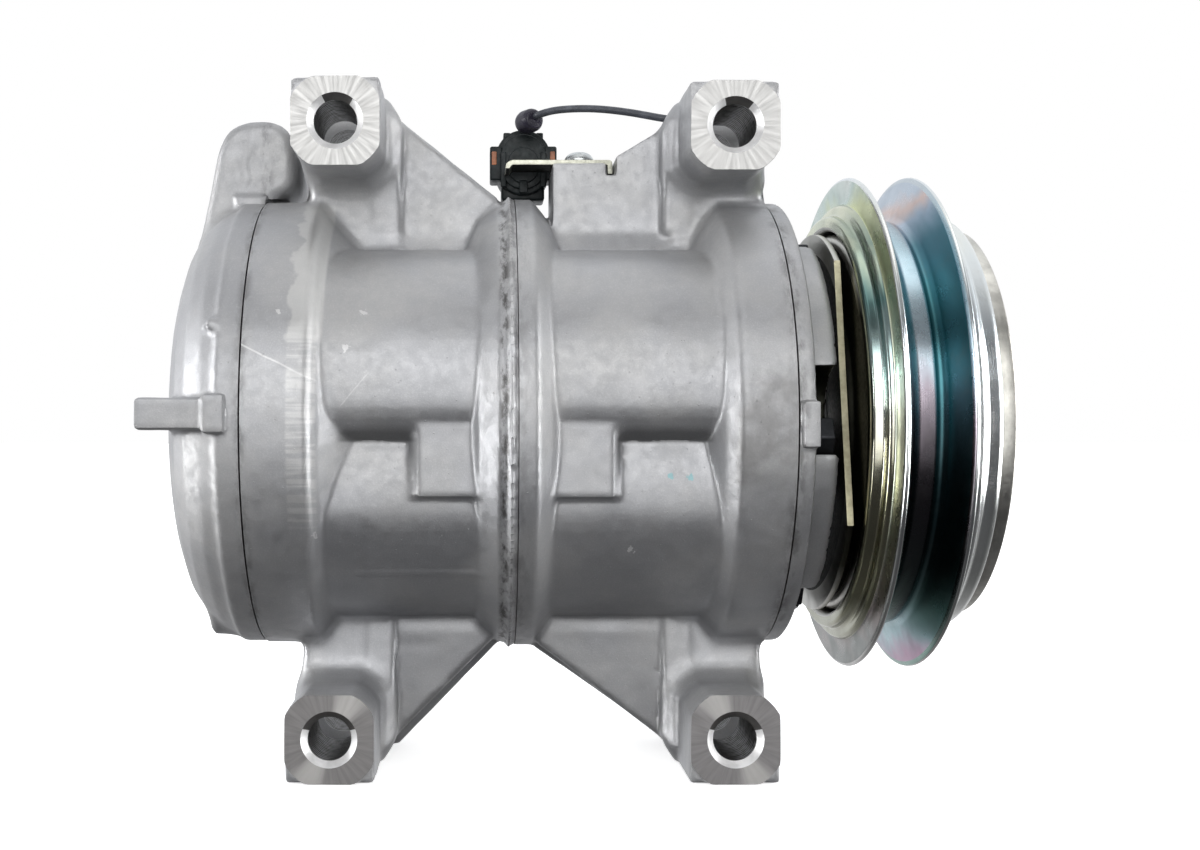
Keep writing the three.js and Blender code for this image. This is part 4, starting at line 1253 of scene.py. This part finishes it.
def front_head():
    casting = Casting((62, -66, -66), (84, 66, 66), 0.8)
    casting.add(solid_of([(60, 60.4), (70.8, 60.4), (71.4, 59.8)]), 0)
    casting.add(solid_of([(70, 52.4), (77.8, 52), (78.8, 51), (78.8, 30), (80.4, 24)]), 0.6)
    casting.add(block(67.6, 71.9, -62.2, -50, -6.4, 4.8, 0.5), 0.3)
    for i in range(CYLINDERS):
        casting.cut(bar_x(11, 71.6, 90, *polar(crease_angle(i) + 8, BOLT_CIRCLE + 3), 0.2), 0.6)
    casting.ripple(7, 0.04, 9)
    obj = casting.skin("front_head_shell")
    cut(obj, box("tool", 50, END_SEAM + END_GAP, -70, 70, -70, 70))
    nose = [(66, 9.6), (66, 20), (111, 20), (112, 19.2), (112, 15.2), (82, 15.2), (82, 9.6)]
    joined(obj, turned("nose", nose, 96))
    cut(obj, rod("tool", 9.5, "x", 60, 84, 0, 0, 48), *head_tools(1, 74))
    # The walls of the pockets round the bolt heads are painted black, as painted shade.
    pocket_shade = zone(71.5, 78.5, 30, 51.2)
    looks = [CAST["front_head"], (MILLED_FLAT, zone(high_r=21)), (COIL_BLACK, pocket_shade)]
    placed(obj, "housing", "cast", ["front_head"], *looks)


def through_bolts():
    for i in range(CYLINDERS):
        y, z = polar(crease_angle(i), BOLT_CIRCLE)
        head = prism("head", ring(5.6, y, z, 6), "x", 72.6, 78, 0.5)
        washer = bevelled(rod("washer", 6.6, "x", 72.0, 73.4, y, z, 40), 0.3, 2)
        shank = rod("shank", 3, "x", -78, 72.4, y, z, 24)
        obj = grouped(f"bolt_{i + 1}", [head, washer, shank])
        placed(obj, "housing", "dark_steel", [f"through_bolt_{i + 1}"], DARK_STEEL)


rear_block()
front_block()
rear_head()
front_head()
through_bolts()

# ---------------------------------------------------------------- clutch


def pulley():
    profile = [
        (86.2, 53.0), (85.6, 53.6), (85.5, 56.2), (86.1, 56.9), (88.0, 57.0), (88.5, 57.6), (88.6, 59.3),
        (89.2, 59.9), (90.2, 60.2), (90.5, 61.5), (90.4, 66.6), (90.7, 67.3), (91.4, 67.5), (92.0, 66.9),
        (95.0, 57.6), (95.9, 56.4), (97.0, 55.9), (101.2, 55.9), (102.0, 55.3), (103.0, 55.4), (104.0, 56.6),
        (106.6, 66.6), (107.1, 67.4), (107.8, 67.5), (108.2, 66.8), (108.4, 62.4), (109.2, 61.0),
        (111.4, 60.4), (112.2, 59.6), (112.5, 58.2), (113.4, 57.3), (116.4, 56.6), (117.5, 55.9),
        (117.8, 55.0), (117.8, 32.2), (117.2, 31.2), (88.4, 31.0), (88.0, 31.4), (88.0, 34.0), (88.4, 34.4),
        (110.4, 34.4), (110.4, 53.0),
    ]
    looks = [
        ZINC["bright"],
        (ZINC["gold"], zone(high_x=90.4, high_r=60.4)),
        (ZINC["pale_green"], zone(high_x=90.9, low_r=60.2, high_r=66.8)),
        (ZINC["teal"], zone(101.4, 107.2, high_r=64.8)),
        (ZINC["lilac"], zone(104, 107.2, 64.8, 67.3)),
        (ZINC["lilac"], zone(92.2, 101.4, high_r=66.5)),
        (ZINC["coil_wall"], zone(high_r=54.5)),
        (FACE_STEEL, zone(high_r=36)),
    ]
    obj = turned("clutch_pulley", eased(profile, 0.5, 3), 240)
    placed(obj, "pulley", "zinc", ["pulley"], *looks)


def armature():
    x = drawn("armature_plate")[0][0]
    profile = [(x, 31), (x, 53.0), (x + 3.4, 53.0), (x + 3.4, 31)]
    obj = turned("armature", eased(profile, 0.4, 3), 200)
    for arm in ARMS:
        for off in (-22, 22):
            cut(obj, rod("tool", 2.4, "x", x - 2, x + 6, *polar(arm + off, 43), 24))
    placed(obj, "armature", "bright_steel", ["armature_plate"], FACE_STEEL)


def star(name, corners, roundness, low, high, bevel):
    """A plate with the same corners, as [angle, radius], about each of the three arms."""
    outline = [polar(arm + off, r) for arm in ARMS for off, r in corners]
    return prism(name, eased(outline, roundness, 5), "x", low, high, bevel)


def clutch_hub():
    end = drawn("clutch_hub")[1][0]
    profile = [(99, 7.8), (99, 11.4), (end, 11.4), (end, 4.4), (113.3, 4.4), (113.3, 7.8)]
    obj = turned("hub", eased(profile, 0.4, 3), 96)
    corners = [(-42, 16.4), (-22, 19), (-9, 27.6), (9, 27.6), (22, 19)]
    plate = star("plate", corners, 2.5, end - 2.8, end - 0.02, 0.35)
    joined(obj, cut(plate, rod("tool", 8, "x", 100, 130, 0, 0, 64)))
    obj.name = "hub_flange"
    placed(obj, "shaft", "bright_steel", ["clutch_hub"], FACE_STEEL)


def leaf_spring():
    low, high = drawn("leaf_spring")
    corners = [
        (-60, 15.2), (-14, 21), (-6, 28), (10, 42), (16, 46.6), (25, 46.6), (27, 42), (12, 25), (30, 15.2)
    ]
    obj = star("spring_star", corners, 3.0, low[0], high[0], 0.15)
    cut(obj, rod("tool", 9.4, "x", 100, 140, 0, 0, 48))
    placed(obj, "shaft", "bright_steel", ["leaf_spring"], GROUND_STEEL)


def hub_nut():
    low, high = drawn("hub_nut")
    hexagon = [polar(a, 7.2) for a in range(0, 360, 60)]
    obj = prism("nut", hexagon, "x", low[0] + 0.9, high[0], 0.5)
    joined(obj, bevelled(rod("washer", 8.2, "x", low[0], low[0] + 1.4, 0, 0, 48), 0.25, 2))
    cut(obj, rod("tool", 4.2, "x", 110, 140, 0, 0, 32))
    obj.name = "shaft_nut"
    placed(obj, "shaft", "dark_steel", ["hub_nut"], DARK_STEEL)


def coil():
    x = drawn("coil_shell")[0][0]
    chord_way = np.array([0, *polar(CHORD_ANGLE, 1)])
    profile = [(x, 24.4), (x, 47), (x, 52), (x + 1.6, 52), (x + 1.6, 24.4)]
    plate = turned("plate", eased(profile, 0.25, 2), 160)
    cut(plate, turn_x(box("tool", x - 5, x + 5, -80, 80, 38.8, 90), CHORD_ANGLE))
    profile = [
        (x + 1.5, 24.6), (x + 1.5, 37.4), (x + 3.6, 38.6), (x + 3.8, 50.4), (x + 5.2, 51.9), (108, 51.9),
        (108, 49.2), (x + 6, 49.2), (x + 6, 39.8), (108, 39.8), (108, 36.2), (x + 4, 36.2), (x + 3, 24.6),
    ]
    roundness = [0.2, 1, 0.6, 1.4, 1.2, 0.3, 0.3, 0.6, 0.6, 0.3, 0.3, 0.5, 0.3]
    obj = joined(turned("cup", eased(profile, roundness, 4), 160), plate)
    obj.name = "coil_cup"
    looks = [
        COIL_BLACK,
        (ZINC["coil_wall"], zone(low_r=46.5)),
        (GOLD_PLATE, lambda c, n: (c[:, 0] < x + 1.7) & (n @ chord_way > 0.97)),
    ]
    placed(obj, "housing", "zinc", ["coil_shell"], *looks)
    profile = [(x + 6.2, 40), (x + 6.2, 49), (107, 49), (107, 40)]
    winding = turned("winding", eased(profile, 0.8, 3), 96)
    placed(winding, "housing", "plastic", ["coil_winding"], WINDING_BLACK)


pulley()
armature()
clutch_hub()
leaf_spring()
hub_nut()
coil()

# ---------------------------------------------------------------- wiring and small fittings


# The bracket, its screw and the pad below them sit this much higher than in the CAD model, as in the photo.
STRIP_LIFT = 1.0


def tube(name, points, radius):
    """A round tube along a smooth curve through points, closed at both ends."""
    curve = bpy.data.curves.new(name, "CURVE")
    curve.dimensions = "3D"
    spline = curve.splines.new("NURBS")
    spline.points.add(len(points) - 1)
    for point, at in zip(spline.points, points):
        point.co = (*at, 1)
    spline.use_endpoint_u = True
    spline.order_u = 4
    spline.resolution_u = 7
    curve.bevel_depth = radius
    curve.bevel_resolution = 4
    curve.use_fill_caps = True
    source = linked(name, curve)
    mesh = baked(source)
    bpy.data.objects.remove(source)
    return welded(linked(name, mesh))


def oval(x, z, radius, stretch):
    """The outline of a disc stretched by plus and minus stretch along z, as [x, z] points."""
    points = []
    for angle in np.radians(np.arange(0, 360, 7.5)):
        lift = stretch if math.sin(angle) >= 0 else -stretch
        points.append((x + radius * math.cos(angle), z + lift + radius * math.sin(angle)))
    return points


def plug_centre():
    """x and z of the middle of the plug's round mouth."""
    low, high = drawn("plug_housing")
    return (low[0] + high[0]) / 2, low[2] + 8.4


def plug():
    x, z = plug_centre()
    pieces = [
        prism("shell", oval(x, z - 0.1, 7.7, 1.5), "y", 2.4, 17, 0.6),
        prism("collar", oval(x, z - 0.1, 6.4, 1.3), "y", 1.2, 4, 0.3),
        prism("face", oval(x, z - 1.2, 4.3, 0.8), "y", 0.4, 3, 0.3),
        box("foot", x - 6.2, x + 6.0, 4, 14, z - 10.6, z - 6, 0.8),
        box("key", x - 1.2, x + 1.2, 0.2, 3, z - 9.0, z - 5.4, 0.3),
    ]
    windows = []
    for side in (-1, 1):
        for name, off, half, y0, y1, z0, z1, bevel in (
            ("latch", 7.6, 1.8, 2.0, 12, -5.2, 4.4, 0.6),
            ("arm", 5.6, 0.8, 1.0, 3, -7.2, 2.6, 0.3),
            ("horn", 4.6, 1.0, 3, 12, 5.6, 8.4, 0.4),
            ("window", 8.2, 0.7, 1.8, 3.2, -0.9, 2.9, 0.25),
        ):
            middle_x = x + side * off
            piece = box(name, middle_x - half, middle_x + half, y0, y1, z + z0, z + z1, bevel)
            (windows if name == "window" else pieces).append(piece)
    placed(grouped("plug_body", pieces), "housing", "plastic", ["plug_housing"], BLACK_PLASTIC)
    placed(grouped("plug_seal_windows", windows), "housing", "plastic", [], SEAL_ORANGE)


def boot():
    """The rubber sleeve that the lead leaves the plug by, leaning over to one side."""
    x, z = plug_centre()
    profile = [(0, 0), (0, 2.9), (1.6, 3.3), (5.0, 3.2), (6.4, 2.5), (6.4, 0)]
    obj = turned("boot", eased(profile, 0.4, 3), 48)
    obj.data.transform(Matrix.Rotation(math.radians(-62), 4, "Z"))
    obj.data.transform(Matrix.Translation((x, -0.8, z + 10.2)))
    obj.name = "boot_sleeve"
    placed(obj, "housing", "rubber", ["wire_boot"], BOOT)


def lead():
    route = [
        (5.4, -5.2, 84.2), (6.3, -6.8, 84.4), (8.6, -8.2, 85), (12, -8.6, 85.6), (17, -8.8, 85.9),
        (24, -9.5, 85.7), (34, -11.2, 84), (43, -13, 81.6), (54, -13.6, 81.4), (63, -13.4, 80.8),
        (67.8, -9, 78.4), (69.4, 0, 73.6), (70.6, 10, 68), (72.6, 17, 62.6), (76, 20.4, 57),
        (81, 20.6, 49), (82, 20.6, 47),
    ]
    placed(tube("lead_wire", route, 1.0), "housing", "wire", ["coil_lead"], WIRE, angle=60)


def lifted(node):
    return [p + np.array([0, 0, STRIP_LIFT]) for p in drawn(node)]


def bracket():
    """The bent strip that holds the plug, and its screw."""
    low, high = lifted("connector_bracket")
    screw_low, screw_high = lifted("bracket_screw")
    screw_x, screw_y = (screw_low[:2] + screw_high[:2]) / 2
    left, right, top, foot = low[0], high[0], high[2], low[2]
    outline = [
        (left, top - 2.3), (left + 0.2, top - 0.9), (left + 1.6, top), (right, top), (right, foot),
        (right - 1.3, foot), (right - 1.3, top - 1.3), (left + 1.8, top - 1.3), (left + 1.1, top - 2.3),
    ]
    roundness = [0.2, 1.0, 1.0, 1.1, 0.2, 0.2, 0.5, 0.5, 0.2]
    strip = prism("bracket_strip", eased(outline, roundness, 4), "y", low[1], high[1], 0.18)
    cut(strip, rod("tool", 2.3, "z", foot - 6, top + 5, screw_x, screw_y, 24))
    # The strip's underside is painted dark as painted shade.
    looks = [STRIP_PLATE, (STRIP_UNDER_SHADE, lambda c, n: n[:, 2] < -0.9)]
    placed(strip, "housing", "bright_steel", ["connector_bracket"], *looks)

    base = screw_high[2] - 2.9
    seat = Matrix.Translation((screw_x, screw_y, base))
    dome = [(0, 0), (0, 4.0), (0.8, 4.1), (2.2, 3.3), (2.9, 1.9), (3.0, 0)]
    head = turned("head", eased(dome, [0, 0.3, 0.5, 0.8, 0.8, 0], 4), 48)
    head.data.transform(seat @ Matrix.Rotation(math.radians(-90), 4, "Y"))
    for turn in (20, 110):
        slot = box("tool", -2.2, 2.2, -0.45, 0.45, 1.2, 4)
        slot.data.transform(seat @ Matrix.Rotation(math.radians(turn), 4, "Z"))
        cut(head, slot)
    shank = rod("shank", 2, "z", screw_low[2], base + 0.2, screw_x, screw_y, 24)
    screw = grouped("pan_head_screw", [head, shank])
    placed(screw, "housing", "bright_steel", ["bracket_screw"], SCREW_PLATE)


def relief_valve():
    body = rod("body", 4.9, "z", 50.8, 61, VALVE_X, 0, 40)
    nut = prism("nut", ring(7.2, VALVE_X, 0, 6), "z", 60.8, 66, 0.5)
    cap = bevelled(rod("cap", 4.6, "z", 65.8, 69, VALVE_X, 0, 40), 0.6, 3)
    obj = turn_x(grouped("relief_valve_body", [body, nut, cap]), VALVE_ANGLE)
    placed(obj, "housing", "bronze", ["relief_valve"], BRONZE)


plug()
boot()
lead()
bracket()
relief_valve()

# ---------------------------------------------------------------- carried-over CAD nodes

CAD_LOOKS = [
    (("o_ring", "shaft_seal"), RUBBER),
    (("gasket",), GASKET),
    (("piston",), TURNED_ALUMINIUM),
    (("swash_disc",), BRONZE),
    (("swash_hub", "snap_ring"), DARK_STEEL),
]
for node, obj in frame["nodes"].items():
    look = GROUND_STEEL
    for words, material in CAD_LOOKS:
        if any(word in node for word in words):
            look = material
    obj.data.materials.clear()
    obj.data.materials.append(look)

# ---------------------------------------------------------------- camera, floor and light

# The camera looks along +y at the shaft's height, with its place in millimetres in the drawing frame.
CAMERA_PLACE = (-9.3, -410, -2.2)
LENS = 43.92
LENS_SHIFT = (0.1, 0.0041667)
FLOOR_GAP = 0.0002

camera = linked("camera", bpy.data.cameras.new("camera"))
camera.data.sensor_width = 36
camera.data.lens = LENS
camera.data.shift_x, camera.data.shift_y = LENS_SHIFT
camera.data.clip_start = 0.01
camera.location = TO_FRAME @ Vector(CAMERA_PLACE)
camera.rotation_euler = (math.radians(90), 0, 0)
bpy.context.scene.camera = camera

floor_z = cad_box[0].z - FLOOR_GAP
corners = [(-9, -9, floor_z), (9, -9, floor_z), (9, 9, floor_z), (-9, 9, floor_z)]
floor = mesh_object("floor", corners, [(0, 1, 2, 3)])
floor_look = Shader("floor_white", (0.9, 0.9, 0.9), 0, 0.9)
floor_look.set("Emission Color", (1, 1, 1))
apart = floor_look.length(floor_look.point())
floor_look.set("Emission Strength", floor_look.span(apart, 150, 900, 0.66, 1.0))
floor_look.set("Base Color", floor_look.mix(floor_look.noise(0.01), grey(0.90), grey(0.93)))
floor.data.materials.append(floor_look.material)
floor.visible_glossy = False
floor.visible_diffuse = False

middle = (cad_box[0] + cad_box[1]) / 2
for name, away, width, height, power in (
    ("key", (-0.10, -1.00, 0.42), 1.3, 0.6, 7.0),
    ("front", (0.0, -1.10, -0.14), 1.2, 0.5, 3.0),
    ("top", (0.1, -0.15, 0.95), 0.9, 0.5, 1.2),
    ("left", (-1.00, -0.12, -0.05), 0.5, 0.8, 12.5),
    ("right", (1.00, -0.16, 0.05), 0.5, 0.8, 11),
):
    light = bpy.data.lights.new(name, "AREA")
    light.shape = "RECTANGLE"
    light.size = width
    light.size_y = height
    light.energy = power
    softbox = linked(name, light)
    softbox.location = middle + Vector(away)
    softbox.rotation_euler = (-Vector(away)).to_track_quat("-Z", "Y").to_euler()

# What the metal reflects is darker below and in front, and what the camera sees beyond the floor is white.
world = bpy.data.worlds.new("studio")
bpy.context.scene.world = world
world.use_nodes = True
sky = world.node_tree
way = add_node(sky, "SeparateXYZ", {0: add_node(sky, "TexCoord", {})["Generated"]})
behind = add_node(sky, "Math", {0: way[1], 1: 0.5, 2: 0.5}, operation="MULTIPLY_ADD")[0]
above = add_node(sky, "Math", {0: way[2], 1: 0.3, 2: behind}, operation="MULTIPLY_ADD")[0]
tones = ramp(sky, above, [
    (0.0, (0.06, 0.06, 0.065)), (0.42, grey(0.15, (1, 1, 1.02))), (0.62, grey(0.42, (1, 1, 1.02))),
    (0.8, grey(0.85, (1, 1, 1.02))), (0.95, (0.95, 0.97, 1.0)),
])
background = sky.nodes["Background"]
feed(sky, background.inputs[0], tones)
plain = add_node(sky, "Background", {0: (1, 1, 1)})[0]
seen = add_node(sky, "LightPath", {})["Is Camera Ray"]
mixed = add_node(sky, "MixShader", {0: seen, 1: background.outputs[0], 2: plain})[0]
feed(sky, sky.nodes["World Output"].inputs[0], mixed)

bpy.context.scene.view_settings.view_transform = "Standard"
